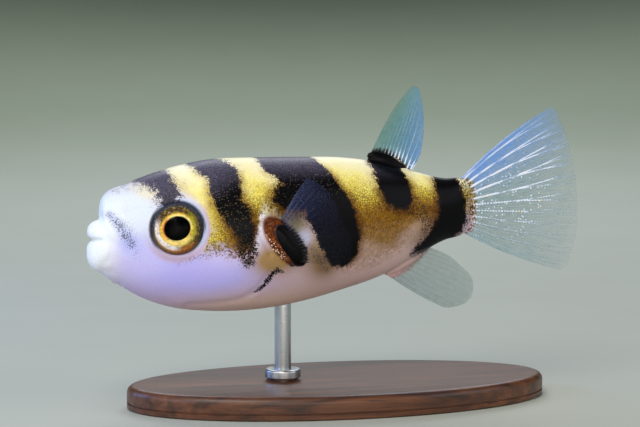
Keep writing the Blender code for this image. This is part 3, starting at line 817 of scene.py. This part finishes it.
eyeLook = {
    "pupil": 1.66, "iris": 2.78, "oval": 0.055, "ovalTurn": 20.0,  # the pupil is a little oval
    "irisLevel": 1.62, "pupilLevel": 1.80,  # how far out the iris lies, outer and inner edge
    "lensRadius": 1.85, "lensLevel": 2.40,  # the lens behind the pupil, and how far out it reaches
    "corneaLift": 0.03, "corneaThick": 0.06, "corneaPast": 0.5,  # the cornea runs past the iris
    "facet": 0.02,  # radius of the small facet that closes a turned piece
    "hollow": ((1.61, 1.68), (1.4, 1.0), (0.02, 0.9)),  # behind the pupil: radius and level
    "fleckMm": 0.13,
    "gold": "#e2b62a", "bright": "#fff2a0", "amber": "#5e3a0d", "olive": "#a3a014", "orange": "#dd7a1c",
    "silver": "#f3f1fb", "brown": "#35220d", "shade": "#2a1804", "spark": "#ffdf66", "lens": "#020203",
    "ring": "#23262f", "ringMottle": "#7d7a5e", "ringTop": "#3a4c68", "ringLow": "#84705f",
    "ringSpark": "#8d7442",
}


def eyePlace(side):
    # Gives the function that places a profile round the eye's axis; at the pupil it is a little oval
    centre = np.array((eye["s"], side * eye["y"], eye["h"]))
    out, rear, up = eyeAxes(side)

    def place(radius, level, angle):
        oval = 1 + eyeLook["oval"] * np.cos(2 * (angle - math.radians(eyeLook["ovalTurn"])))
        oval = 1 + (oval - 1) * smooth(eyeLook["iris"], eyeLook["pupil"], radius)
        spoke = np.cos(angle)[..., None] * rear + np.sin(angle)[..., None] * up
        points = centre + (radius * oval)[..., None] * spoke + level[..., None] * out
        return toWorld(points.reshape(-1, 3))
    return place


def ballLevel(radius, grow=0.0):
    # Level of the eyeball's surface above its middle plane
    return (eye["depthRadius"] + grow) * np.sqrt(np.maximum(1 - (radius / (eye["radius"] + grow)) ** 2, 0.0))


def eyeTones(radius, rear, up):
    # Colours round the iris and the dark ring, as the living eye has them, laid on in turn
    inner, outer = eyeLook["pupil"], eyeLook["iris"]
    share = (radius - inner) / (outer - inner)  # 0 at the pupil, 1 at the iris's edge
    above = smooth(-0.1, 0.6, up)
    front = smooth(0.30, 0.85, -0.80 * rear - 0.60 * up)
    edge = smooth(-0.05, 0.16, radius - outer - 0.26 * np.clip(-up, 0, 1)
                  + 0.16 * np.clip(up + 0.5 * rear, 0, 1))
    tone = np.zeros((len(radius), 3)) + linear(eyeLook["gold"])
    for colour, amount in (
            ("amber", smooth(0.22, 0.60, share) * above * 0.9),
            ("brown", smooth(0.20, 0.50, share) * above * 0.95),
            ("olive", smooth(0.45, 0.9, rear) * smooth(0.02, 0.25, share) * 0.9),
            ("brown", smooth(0.38, 0.80, share) * smooth(0.2, 0.7, rear * 0.85 - up * 0.5) * 0.9),
            ("orange", smooth(0.60, 1.0, share) * smooth(0.5, 0.95, -up) * 0.75),
            ("bright", smooth(0.28, 0.06, share) * smooth(-0.9, 0.2, up - 0.4 * rear) * 0.9),
            ("bright", smooth(0.75, 0.25, share) * smooth(0.2, 0.9, -up) * 0.6),
            ("orange", smooth(0.3, 0.05, share) * smooth(0.4, 0.9, -rear) * 0.9),
            ("silver", smooth(0.42, 0.62, share) * smooth(1.15, 0.95, share) * front * 0.95),
            ("ring", edge),
            ("ringTop", edge * smooth(0.0, 0.8, up) * smooth(2.7, 3.2, radius) * 0.85),
            ("ringLow", edge * smooth(0.1, 0.8, -up - 0.2 * rear) * 0.8)):
        tone = lay(tone, eyeLook[colour], amount)
    return tone


def makeEyeMaterials():
    # Fish iris: gold mirror cells over brown pigment, under a wet clear cornea. It glitters in flecks.
    iris, shader, add, place = newMaterial("fishIris", {"Roughness": 0.4, "Metallic": 0.2, "IOR": 1.3})
    colours = {name: rgba(value) for name, value in eyeLook.items() if isinstance(value, str)}
    ring = add("Attribute", attribute_name="ring")
    cloud = add("TexNoise", place, 2.6, 4.0, 0.7)
    flecks = add("TexVoronoi", place, 1 / eyeLook["fleckMm"])
    spark = add("Mix RGBA", ring, colours["spark"], colours["ringSpark"])
    mottle = add("Math MULTIPLY", add("MapRange", cloud, 0.52, 0.64, 0.0, 0.5), ring)
    tone = add("Attribute", attribute_name="tone")
    for share, colour in (
            (add("MapRange", cloud, 0.56, 0.36, 0.0, 0.5), colours["shade"]),
            (add("MapRange", flecks.outputs["Color"], 0.62, 0.85, 0.0, 0.34), spark),
            (mottle, colours["ringMottle"])):
        tone = add("Mix RGBA", share, tone, colour)
    feed(shader.inputs["Base Color"], tone)
    feed(shader.inputs["Normal"], add("Bump", 0.5, 0.00005, None, cloud))

    # The lens seen through the pupil: black and deep
    lens = newMaterial("fishLens", {"Base Color": colours["lens"], "IOR": 1.06, "Roughness": 0.1})[0]

    # Cornea: clear wet tissue, seen only by what it mirrors. The index is low, as between wet layers
    cornea = bpy.data.materials.new("wetCornea")
    cornea.use_nodes = True
    nodes = cornea.node_tree.nodes
    nodes.remove(nodes["Principled BSDF"])
    add = partial(addNode, cornea.node_tree)
    both = add("MixShader", add("Fresnel", 1.10), add("BsdfTransparent"), add("BsdfGlossy", None, 0.04))
    feed(nodes["Material Output"].inputs["Surface"], both)
    return iris, lens, cornea


def eyeProfiles():
    # Profiles of (radius, level): the ball with its hollow behind the pupil, the lens and the cornea
    look = eyeLook
    back = np.linspace(look["facet"], 1.45, 12)  # angles from the ball's rear
    ringRadii = np.concatenate((eye["radius"] * np.sin(np.linspace(math.pi / 2, 1.05, 12)),
                                np.linspace(3.0, look["iris"] + 0.1, 9)))
    irisRadii = np.linspace(look["iris"], look["pupil"], 20)
    irisLevels = np.interp(irisRadii, (look["pupil"], look["iris"]), (look["pupilLevel"], look["irisLevel"]))
    ball = [(eye["radius"] * math.sin(a), -eye["depthRadius"] * math.cos(a)) for a in back]
    ball += [(r, ballLevel(r)) for r in ringRadii] + list(zip(irisRadii, irisLevels))
    ball += look["hollow"]
    middle = look["lensLevel"] - look["lensRadius"]
    lens = [(look["lensRadius"] * math.sin(a), middle - look["lensRadius"] * math.cos(a))
            for a in np.linspace(0.02, 3.12, 30)]
    outer = [(r, ballLevel(r, look["corneaLift"]))
             for r in np.linspace(look["facet"], look["iris"] + look["corneaPast"], 26)]
    return ball, lens, outer + [(r, level - look["corneaThick"]) for r, level in outer[::-1]]


def makeEyes(sides=144):
    irisMaterial, lensMaterial, corneaMaterial = makeEyeMaterials()
    ballProfile, lensProfile, corneaProfile = eyeProfiles()
    radius = np.repeat([r for r, _ in ballProfile], sides)
    angle = np.tile(fullTurn(sides), len(ballProfile))
    for label, cadSide, side in leftAndRight:
        place = eyePlace(side)
        ball = turnProfile("eyeball" + label, ballProfile, place, irisMaterial, sides)
        writeAttribute(ball.data, "tone", eyeTones(radius, np.cos(angle), np.sin(angle)))
        writeAttribute(ball.data, "ring", smooth(eyeLook["iris"] - 0.05, eyeLook["iris"] + 0.1, radius))
        settle(ball, "eye", "eye_" + cadSide)
        settle(turnProfile("eyeLens" + label, lensProfile, place, lensMaterial, 72), "eye")
        settle(turnProfile("eyeCornea" + label, corneaProfile, place, corneaMaterial, 96), "eye")
    print("eyes made")


# Fins: each is a fan of branching rays with a thin web between them. Along the root, from the first
# ray to the last, are the ray's foot (s, y, h), its slope in degrees, its length and its lean outwards,
# how brightly the rays' painted glints shine, how beaded they are, how thick the web looks and its colour,
# how bright the painted highlights on the rays' feet are, how far in mm the body's skin runs up the fin, and
# that skin's colour.
fins = {
    "dorsal": {
        "feet": ((38.2, 0.0, 20.4), (41.1, 0.0, 19.5), (44.1, 0.0, 18.3)),
        "slope": (61.0, 66.0, 70.0, 72.5, 62.0), "length": (8.1, 10.2, 10.8, 9.3, 2.8),
        "bend": 6.0, "sway": 0.35, "rays": 12, "columns": 220, "rows": 70, "rayMm": (0.11, 0.045),
        "shine": (0.06, 0.10, 0.16, 0.28, 0.45, 0.5), "streaky": 0.8, "filmFade": 0.5,
        "film": (1.9, 2.5, 2.8, 3.0, 3.0), "web": ("#4a8a84", "#4b8a92", "#518dae", "#5a94cf"),
        "footShine": (0.1, 0.4, 1.2, 2.0, 2.0), "footMm": 1.7, "skinDots": 0.4,
        "skinMm": (0.5, 0.6, 0.5, 0.35, 0.15), "skin": ("#0e0d0c", "#1d1a14", "#2b2619"),
    },
    "anal": {
        "feet": ((40.6, 0.0, 4.2), (43.5, 0.0, 6.0), (46.6, 0.0, 7.8)),
        "slope": (-29.5, -28.0, -25.0, -22.0, -24.0), "length": (9.9, 11.0, 10.6, 8.4, 3.8),
        "bend": -7.0, "sway": -0.35, "rays": 10, "columns": 200, "rows": 70, "rayMm": (0.13, 0.045),
        "shine": (0.22, 0.16, 0.12, 0.12, 0.12), "streaky": 0.6, "filmFade": 0.3,
        "film": (1.3, 1.1, 1.0, 0.95), "web": ("#3f6a66", "#3f6a66"),
        "footShine": (0.15, 0.15), "footMm": 1.2, "skinDots": 0.16,
        "skinMm": (0.9, 0.7, 0.4, 0.15), "skin": ("#c9a3a4", "#a8938f", "#7d7668"),
    },
    "caudal": {
        "feet": ((50.9, 0.0, 16.75), (51.6, 0.0, 13.4), (50.9, 0.0, 10.1)),
        "slope": (36.5, 22.5, 4.0, -9.0, -20.5), "length": (17.7, 17.7, 17.2, 17.2, 17.2), "start": -0.05,
        "bend": 9.0, "sway": 0.6, "rays": 11, "columns": 330, "rows": 110, "rayMm": (0.14, 0.05),
        "shine": (0.6, 1.6, 2.6, 2.6, 2.2, 1.5, 1.1, 0.8, 0.65, 0.5), "streaky": 1.5, "filmFade": 1.08,
        "beads": (0.1, 0.2, 0.5, 1.0, 1.0, 1.0), "film": (2.9, 2.1, 1.35, 1.15, 1.1, 1.1, 1.3),
        "web": ("#5a9cf0", "#5a95dc", "#4a86a0", "#427e8c", "#417b86", "#4c8a98"),
        "footShine": (0.6, 0.9, 0.7, 0.4), "footMm": 2.4, "skinDots": 0.5,
        "skinMm": (0.3, 0.9, 1.25, 1.3, 1.1, 0.5),
        "skin": ("#b9a04e", "#b09a5c", "#b49a78", "#bda3a2", "#c0a9b0"),
    },
    "pectoral": {
        "feet": ((23.6, 8.3, 12.4), (25.2, 8.4, 9.8), (26.3, 8.2, 6.9)),
        "slope": (62.0, 49.0, 27.0, 10.0, -3.0), "length": (6.5, 7.2, 6.7, 7.1, 6.2), "lean": (20.0, 16.0),
        "bend": 4.0, "sway": 0.0, "rays": 15, "columns": 240, "rows": 60, "rayMm": (0.11, 0.04),
        "shine": (0.16, 0.05, 0.05, 0.05), "streaky": 0.1, "filmFade": 0.6, "beads": (0.2, 0.2),
        "film": (1.5, 0.9, 0.36, 0.3, 0.5), "web": ("#384272", "#2f3556", "#1d2029"),
        "footShine": (0.05, 0.2, 0.2, 0.05), "footMm": 0.9, "skinDots": 0.0,
        "skinMm": (0.3, 0.45, 0.5, 0.4), "skin": ("#0c0d12", "#17120d"),
    },
}
# What the fins share, unless they have their own
finBuild = {
    "webMm": 0.06, "ridgeMm": 0.14, "rootMm": 0.30,  # thickness: web, what a ray adds, what the root adds
    "start": 0.0,  # where the web starts along the rays, as a share of their length
    "lean": (0.0, 0.0), "beads": (0.3, 0.3),
    "scallop": 0.010, "wear": 0.007, "corner": 0.03,  # how much shorter the margin gets by each
    "wearWaves": ((57.0, 1.3), (23.0, 0.4)), "cornerEnds": ((0.035, 0.0), (0.965, 1.0)),
    "edgeRays": (0.004, 0.996), "edgeStrength": 0.9, "edgeWidth": 1.3,  # the rays along the two sides
    "forks": ((0.20, (0.38, 0.95)), (0.10, (0.66, 1.05))),  # how wide a ray forks, and between where
}


def finSurface(fin, u, v, side):
    # The fin's middle surface: u along the root, v along the rays
    s, y, h = np.moveaxis(along(fin["feet"], u), -1, 0)
    slope = np.radians(along(fin["slope"], u) + fin["bend"] * (1 - v) * (1 - 2 * u))
    lean = np.radians(along(fin["lean"], u))
    reach = along(fin["length"], u) * v
    wave = fin["sway"] * v * np.abs(v) * np.sin(2 * math.pi * u)
    return np.stack((
        s + reach * np.cos(slope) * np.cos(lean),
        (y + reach * np.sin(lean) + wave) * side,
        h + reach * np.sin(slope) * np.cos(lean)), axis=-1)


def rayStrength(fin, u, v, spread):
    # 1 on the line of a ray and 0 on the web; each ray forks twice towards the margin
    gap = 1.0 / fin["rays"]
    halfWidth = fin["rayMm"][0] + (fin["rayMm"][1] - fin["rayMm"][0]) * smooth(0.0, 1.0, v)
    first, second = (width * gap * smooth(*ends, v) for width, ends in fin["forks"])
    strength = np.zeros_like(u)
    for i in range(fin["rays"]):
        for turn in (-1, 1):
            for twig in (-1, 1):
                line = (i + 0.5) * gap + turn * first + twig * second
                strength = np.maximum(strength, np.exp(-((u - line) * spread / halfWidth) ** 2))
    for line in fin["edgeRays"]:
        gauss = np.exp(-((u - line) * spread / (fin["edgeWidth"] * halfWidth)) ** 2)
        strength = np.maximum(strength, fin["edgeStrength"] * gauss)
    return strength


def exitReach(fin, middle, v, skinShape):
    # How far along each ray it leaves the body's skin
    reach = v * along(fin["length"], np.linspace(0.0, 1.0, fin["columns"]))[:, None]
    leaves = []
    for points, reaches in zip(toWorld(middle.reshape(-1, 3)).reshape(middle.shape), reach):
        below, near = -mm, reaches[0]  # the last point inside: its height and its reach
        found = near
        for point, far in zip(points, reaches):
            place, normal, _, _ = skinShape.find_nearest(Vector(point))
            height = (Vector(point) - place).dot(normal)
            if height > 0:
                found = near + (far - near) * below / (below - height)
                break
            below, near = height, far
        leaves.append(found)
    return np.array(leaves)[:, None]


def finFaces(columns, rows):
    # Both faces of the web and the rim that joins them
    count = columns * rows
    near = gridFaces(columns, rows, closed=False, caps=0)
    far = [tuple(i + count for i in face[::-1]) for face in near]
    rim = [i * rows for i in range(columns)] + [(columns - 1) * rows + j for j in range(1, rows)]
    rim += [i * rows + rows - 1 for i in range(columns - 2, -1, -1)] + list(range(rows - 2, 0, -1))
    return near + far + [(a, b, b + count, a + count) for a, b in zip(rim, rim[1:] + rim[:1])]


def makeFin(label, name, cadNode, side, material, skinShape):
    fin = {**finBuild, **fins[name]}
    columns, rows = fin["columns"], fin["rows"]
    u = np.repeat(np.linspace(0.0, 1.0, columns)[:, None], rows, axis=1)
    # The margin is scalloped between the rays, a little worn, and rounded at its corners
    wear = np.abs(np.prod([np.sin(rate * u + start) for rate, start in fin["wearWaves"]], axis=0))
    corners = sum(smooth(*ends, u) for ends in fin["cornerEnds"])
    scallops = 1 - np.abs(np.cos(math.pi * fin["rays"] * 2 * u))
    margin = 1.0 - fin["scallop"] * scallops - fin["wear"] * wear - fin["corner"] * corners
    v = fin["start"] + (margin - fin["start"]) * np.linspace(0.0, 1.0, rows)[None, :]
    middle = finSurface(fin, u, v, side)
    across, outward = np.gradient(middle, axis=(0, 1))
    normal = np.cross(across, outward)
    normal /= np.linalg.norm(normal, axis=-1)[..., None]
    ray = rayStrength(fin, u, v, np.linalg.norm(across, axis=-1) * (columns - 1))
    thick = fin["webMm"] + fin["ridgeMm"] * ray * smooth(1.15, 0.1, v) + fin["rootMm"] * smooth(0.25, 0.0, v)
    half = normal * thick[..., None] / 2
    points = np.concatenate([face.reshape(-1, 3) for face in (middle + half, middle - half)])
    obj = newObject(label, toWorld(points), finFaces(columns, rows), material)

    reach = v * along(fin["length"], u)
    free = reach - exitReach(fin, middle, v, skinShape)
    foot = smooth(fin["footMm"], 0.2, free)
    light = along(fin["shine"], u) * smooth(1.15, 0.45, v) + along(fin["footShine"], u) * foot
    web, skin = (along([linear(colour) for colour in fin[part]], u) for part in ("web", "skin"))
    film = along(fin["film"], u) * (1.25 - fin["filmFade"] * np.maximum(v, 0.0) ** 1.5)
    for mark, values in (
            ("ray", ray), ("light", light), ("reach", reach), ("across", u), ("web", web),
            ("beads", along(fin["beads"], u)), ("film", film), ("skinEdge", along(fin["skinMm"], u) - free),
            ("skin", skin), ("skinDots", np.full_like(u, fin["skinDots"])),
            ("streaky", np.full_like(u, fin["streaky"]))):
        values = values.reshape(columns * rows, -1)
        writeAttribute(obj.data, mark, np.tile(values, (2, 1)).squeeze())
    settle(obj, "fin", cadNode)


finFinish = {
    "shader": {"Roughness": 0.35, "IOR": 1.34, "Specular IOR Level": 0.15},
    # ray: the pale ray and its white painted glint; warm: golden painted glint
    "ray": "#e4eeff", "warm": "#ffedc8", "dots": "#2e1c0e",
    "filmAlpha": 0.17, "rayAlpha": 0.95, "beadMm": 0.42, "dotMm": 0.2, "speckMm": 0.6,
}


def makeFinMaterial():
    # Fin web: clear wet skin with a blue cast, over bony rays of pale glassy segments. On the rays,
    # glints are painted in as broken white lines.
    look = finFinish
    material, shader, add, place = newMaterial("clearFinWeb", look["shader"])
    mark = {name: add("Attribute", attribute_name=name) for name in (
        "ray", "light", "reach", "across", "web", "beads", "film", "skinEdge", "skin", "skinDots", "streaky")}
    cloud = add("TexNoise", place, 1.1, 4.0, 0.6)
    specks = add("TexVoronoi", place, 1 / look["speckMm"])
    dots = add("TexVoronoi", place, 1 / look["dotMm"])
    # Noise drawn out along the rays: broad for their glow, and fine for streaks in the web
    glow, streaks = (
        add("TexNoise", add("CombineXYZ", add("Math MULTIPLY", mark["across"], broad),
                            add("Math MULTIPLY", mark["reach"], long)), 1.0)
        for broad, long in ((30.0, 0.38), (220.0, 0.5)))

    # Segments of a ray: pale beads of uneven length, with a dim joint between them
    drift = add("Math MULTIPLY", add("TexNoise", place, 1.7), 8.0)
    joint = add("Math MULTIPLY_ADD", mark["reach"], 2 * math.pi / look["beadMm"], drift)
    joint = add("MapRange", add("Math SINE", joint), 0.3, -0.7, 0.0, 0.75)
    joint = add("Math SUBTRACT", 1.0, add("Math MULTIPLY", joint, mark["beads"]))
    # Painted glints: each ray shines for parts of its length, and a few bright painted specks lie on the web
    ray = add("Math MULTIPLY", mark["ray"], joint)
    ray = add("Math MULTIPLY", ray, add("MapRange", glow, 0.36, 0.54, 0.25, 1.0))
    speck = add("Math MULTIPLY", add("MapRange", specks, 0.23, 0.13), mark["beads"])
    ray = add("Math MULTIPLY", add("Math MAXIMUM", ray, speck), mark["light"], use_clamp=True)
    # The painted glints' colour: white, warm in places
    shine = add("Mix RGBA", add("MapRange", glow, 0.63, 0.70), rgba(look["ray"]), rgba(look["warm"]))
    web = add("Mix RGBA", ray, mark["web"], shine)
    # The body's skin runs up between the feet of the rays in spikes
    skin = add("Math", mark["skinEdge"], add("MapRange", streaks, 0.25, 0.75, -0.55, 0.55))
    skin = add("MapRange", add("Math MULTIPLY_ADD", ray, -0.6, skin), -0.15, 0.25)
    dotted = add("MapRange", add("Math SUBTRACT", mark["skinDots"], dots), -0.05, 0.1)
    dotted = add("Mix RGBA", dotted, mark["skin"], rgba(look["dots"]))
    feed(shader.inputs["Base Color"], add("Mix RGBA", skin, web, dotted))

    film = add("Math MULTIPLY_ADD", add("MapRange", streaks, 0.3, 0.7, -0.5, 0.5), mark["streaky"], 1.0)
    film = add("Math MULTIPLY", film, add("MapRange", cloud, 0.3, 0.7, 0.85, 1.15))
    film = add("Math MULTIPLY", film, add("Math MULTIPLY", mark["film"], look["filmAlpha"]))
    alpha = add("Math MAXIMUM", add("Mix", ray, film, look["rayAlpha"]), skin)
    feed(shader.inputs["Alpha"], alpha)
    feed(shader.inputs["Normal"], add("Bump", 0.1, 0.00003, None, cloud))
    return material


def makeFins(skin):
    shared = (makeFinMaterial(), BVHTree.FromObject(skin, bpy.context.evaluated_depsgraph_get()))
    for name in ("dorsal", "anal", "caudal"):
        makeFin("fin" + name.capitalize(), name, name + "_fin", 1.0, *shared)
    for label, cadSide, side in leftAndRight:
        makeFin("finPectoral" + label, "pectoral", "pectoral_fin_" + cadSide, side, *shared)
    print("fins made")


beak = {"dark": "#efe4c4", "light": "#fbf6e6", "lineScale": 2.2}


def makeBeak():
    # Tooth plates: enamel, cream and glassy, with faint growth lines
    material, shader, add, place = newMaterial("enamelBeak", {
        "Roughness": 0.22, "IOR": 1.62, "Coat Weight": 0.4})
    lines = add("TexWave", place, beak["lineScale"], 1.5, bands_direction="Z").outputs["Fac"]
    colour = add("Mix RGBA", lines, rgba(beak["dark"]), rgba(beak["light"]))
    feed(shader.inputs["Base Color"], colour)
    for name in ("beak_upper", "beak_lower"):
        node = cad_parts[name]
        node.data.materials.clear()
        node.data.materials.append(material)
    print("beak finished")


# Stand: an oval walnut base, a steel rod into the belly and a steel collar; lengths in mm
stand = {
    "inset": 0.2,  # how far the base's side lies within its CAD box
    "edge": 0.9,  # rounding of the base's top edge
    "groove": 0.18,  # depth of the turned line round the base
    "grooveLevels": (0.75, 0.8, 0.95, 1.0),
    "bevel": 0.3,  # of the base's lower edge, the rod and the collar
    "play": 0.05,  # between the rod and the collar
    "wood": ((0.32, "#2a150b"), (0.52, "#5a3219"), (0.72, "#7a4a28")), "pore": "#140a05", "grain": 1.6,
    "steel": "#b9bcc0",
    "sharp": 38.0,  # degrees above which an edge shows as sharp
}


def makeWood():
    # Walnut, sanded and oiled: dark streaks along the length, a soft satin sheen
    material, shader, add, place = newMaterial("oiledWalnut", {
        "Roughness": 0.42, "IOR": 1.5, "Coat Weight": 0.15, "Coat Roughness": 0.3})
    place = add("VectorMath MULTIPLY", place, (0.06, 1.0, 1.0))
    rings = add("TexNoise", place, 1 / stand["grain"], 6.0, 0.62, None, 0.4)
    pores = add("TexNoise", place, 6 / stand["grain"], 3.0)
    colour = add("ValToRGB", rings)
    fillRamp(colour.color_ramp, stand["wood"])
    pore = add("MapRange", pores, 0.60, 0.72, 0.0, 0.7)
    feed(shader.inputs["Base Color"], add("Mix RGBA", pore, colour, rgba(stand["pore"])))
    feed(shader.inputs["Roughness"], add("MapRange", rings, 0.0, 1.0, 0.34, 0.52))
    feed(shader.inputs["Normal"], add("Bump", 0.4, 0.00005, None, pores))
    return material


def makeSteel():
    # Stainless steel, turned and brushed round: fine rings and a soft streak of light
    material, shader, add, place = newMaterial("brushedStainlessSteel", {
        "Metallic": 1.0, "Roughness": 0.28, "Base Color": rgba(stand["steel"])})
    brush = add("TexNoise", add("VectorMath MULTIPLY", place, (0.05, 0.05, 1.0)), 9.0, 3.0)
    feed(shader.inputs["Roughness"], add("MapRange", brush, 0.0, 1.0, 0.2, 0.42))
    feed(shader.inputs["Normal"], add("Bump", 0.25, 0.00002, None, brush))
    return material


def quarter(side, top, radius, steps=7):
    # A rounded edge of a profile, from its side up to its top
    return [(side - radius * (1 - math.cos(a)), top - radius * (1 - math.sin(a)))
            for a in np.linspace(0.0, math.pi / 2, steps)]


def baseProfile(low, high):
    side, edge = -stand["inset"], stand["edge"]
    groove = side - stand["groove"]
    levels = [low + level for level in stand["grooveLevels"]]
    return ([(side - stand["bevel"], low), (side, low + 0.2)]
            + list(zip((side, groove, groove, side), levels)) + quarter(side, high, edge)
            + [(side - edge - 0.6, high), (-12.0, high)])


def rodProfile(low, high):
    return [(-0.1, low), (0.0, low + 0.1), (0.0, high - stand["bevel"]), (-stand["bevel"], high)]


def collarProfile(low, high):
    rodWidth, width = (far.x - near.x for near, far in map(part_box, ("stand_rod", "stand_collar")))
    bore = (rodWidth - width) / 2 / mm + stand["play"]
    return ([(bore, low), (-0.25, low), (0.0, low + 0.25)] + quarter(0.0, high, stand["bevel"])
            + [(bore, high)])


def makeStand():
    # Profiles are (distance past the CAD box's side, level), turned round an upright axis
    wood, steel = makeWood(), makeSteel()
    for name, cadNode, slot, material, profile, sides in (
            ("standBase", "stand_base", "base_wood", wood, baseProfile, 160),
            ("standRod", "stand_rod", "stand_steel", steel, rodProfile, 48),
            ("standCollar", "stand_collar", "stand_steel", steel, collarProfile, 64)):
        low, high = (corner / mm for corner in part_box(cadNode))
        middle = ((low.x + high.x) / 2 * mm, (low.y + high.y) / 2 * mm)
        half = ((high.x - low.x) / 2, (high.y - low.y) / 2)
        place = ovalPlace(middle, half)
        piece = turnProfile(name, profile(low.z, high.z), place, material, sides)
        piece.data.set_sharp_from_angle(angle=math.radians(stand["sharp"]))
        settle(piece, slot, cadNode)
    print("stand made")


# The room: a pale round bay whose floor curves up into its wall, so that every view ends on it; in mm
room = {"middle": 10.0, "floorRadius": 240.0, "wallRadius": 1050.0, "wallHeight": 1400.0,
        "shades": ((0.0, "#b9beb4"), (50.0, "#98a38f"), (160.0, "#6d7a66"))}  # painted shade, by height


def makeRoom():
    # Matt painted board, pale below, with painted shade that darkens it up the wall, very slightly mottled
    material, shader, add, place = newMaterial("mattPaintedBoard", {"Roughness": 0.9, "IOR": 1.45})
    top = room["shades"][-1][0]
    height = add("SeparateXYZ", place).outputs["Z"]
    colour = add("ValToRGB", add("Math MULTIPLY", height, 1 / top))
    fillRamp(colour.color_ramp, [(z / top, shade) for z, shade in room["shades"]])
    colour.color_ramp.interpolation = "EASE"
    mottle = add("MapRange", add("TexNoise", place, 0.04, 3.0), 0.0, 1.0, 0.0, 0.07)
    feed(shader.inputs["Base Color"], add("Mix RGBA", mottle, colour, rgba("#000000")))
    curve = room["wallRadius"] - room["floorRadius"]
    profile = [(r, 0.0) for r in np.linspace(room["middle"], room["floorRadius"], 8)]
    profile += [(room["floorRadius"] + curve * math.sin(a), curve * (1 - math.cos(a)))
                for a in np.linspace(0.0, math.pi / 2, 40)[1:]]
    profile.append((room["wallRadius"], room["wallHeight"]))
    floor = turnProfile("roomFloor", profile, ovalPlace((0.0, 0.0), (0.0, 0.0)), material, 96, caps=1)
    print("room made")


# Lights: place and size in metres, power in watts, and colour. The low ones lie clear of the room's curve
lights = {
    "keyBox": ((-0.26, -0.34, 0.46), (0.34, 0.34), 2.15, "#fff8ee"),
    "faceBox": ((-0.32, -0.14, 0.108), (0.19, 0.10), 0.264, "#e3ebff"),
    "fillBox": ((-0.04, -0.35, 0.082), (0.32, 0.05), 0.30, "#fff3ee"),
    "lowBox": ((0.0, -0.16, 0.002), (0.24, 0.08), 0.24, "#fff1e8"),
    "rimBox": ((-0.27, 0.13, 0.104), (0.13, 0.15), 0.325, "#86b4ff"),
    "tailBox": ((0.42, -0.30, 0.24), (0.30, 0.30), 0.6, "#f2f5ff"),
    "backBox": ((0.12, 0.42, 0.40), (0.40, 0.30), 1.6, "#f3f7ff"),
}
lightWays = {"lowBox": (0.0, 0.0, 1.0)}  # it lies on the floor and faces up; the others face the fish
surround = {"colour": "#d3dce8", "strength": 0.36}


def makeLights(target):
    for name, (place, size, power, colour) in lights.items():
        lamp = bpy.data.lights.new(name, "AREA")
        lamp.shape = "RECTANGLE"
        lamp.size, lamp.size_y = size
        lamp.energy = power
        lamp.color = linear(colour)
        obj = bpy.data.objects.new(name, lamp)
        obj.location = place
        way = Vector(lightWays.get(name, target - obj.location))
        obj.rotation_euler = way.to_track_quat("-Z", "Y").to_euler()
        obj.visible_camera = False
        bpy.context.scene.collection.objects.link(obj)
    world = bpy.data.worlds.new("studio")
    world.use_nodes = True
    background = world.node_tree.nodes["Background"]
    background.inputs["Color"].default_value = rgba(surround["colour"])
    background.inputs["Strength"].default_value = surround["strength"]
    bpy.context.scene.world = world
    print("lights made")


# Camera: where it looks, from the middle of the frame's box, in mm; turn and rise in degrees, distance
# and range in metres, and focal length in mm
camera = {"aim": (-3.2, 0.0, 4.0), "turn": 16.0, "rise": 3.0, "distance": 0.20168, "lens": 85.0,
          "range": (0.005, 10.0)}


def makeCamera():
    low, high = cadBounds
    middle = (low + high) / 2
    aim = Vector((middle.x, 0.0, middle.z)) + Vector(camera["aim"]) * mm
    turn, rise = math.radians(camera["turn"]), math.radians(camera["rise"])
    forward = Vector((math.sin(turn) * math.cos(rise), math.cos(turn) * math.cos(rise), -math.sin(rise)))
    data = bpy.data.cameras.new("camera")
    data.lens = camera["lens"]
    data.clip_start, data.clip_end = camera["range"]
    obj = bpy.data.objects.new("camera", data)
    obj.location = aim - forward * camera["distance"]
    obj.rotation_euler = forward.to_track_quat("-Z", "Y").to_euler()
    bpy.context.scene.collection.objects.link(obj)
    bpy.context.scene.camera = obj
    print("camera placed")
    return aim


makeLights(makeCamera())
makeRoom()
skin = makeSkin()
makeEyes()
makeFins(skin)
makeBeak()
makeStand()
bpy.context.scene.view_settings.view_transform = "Standard"
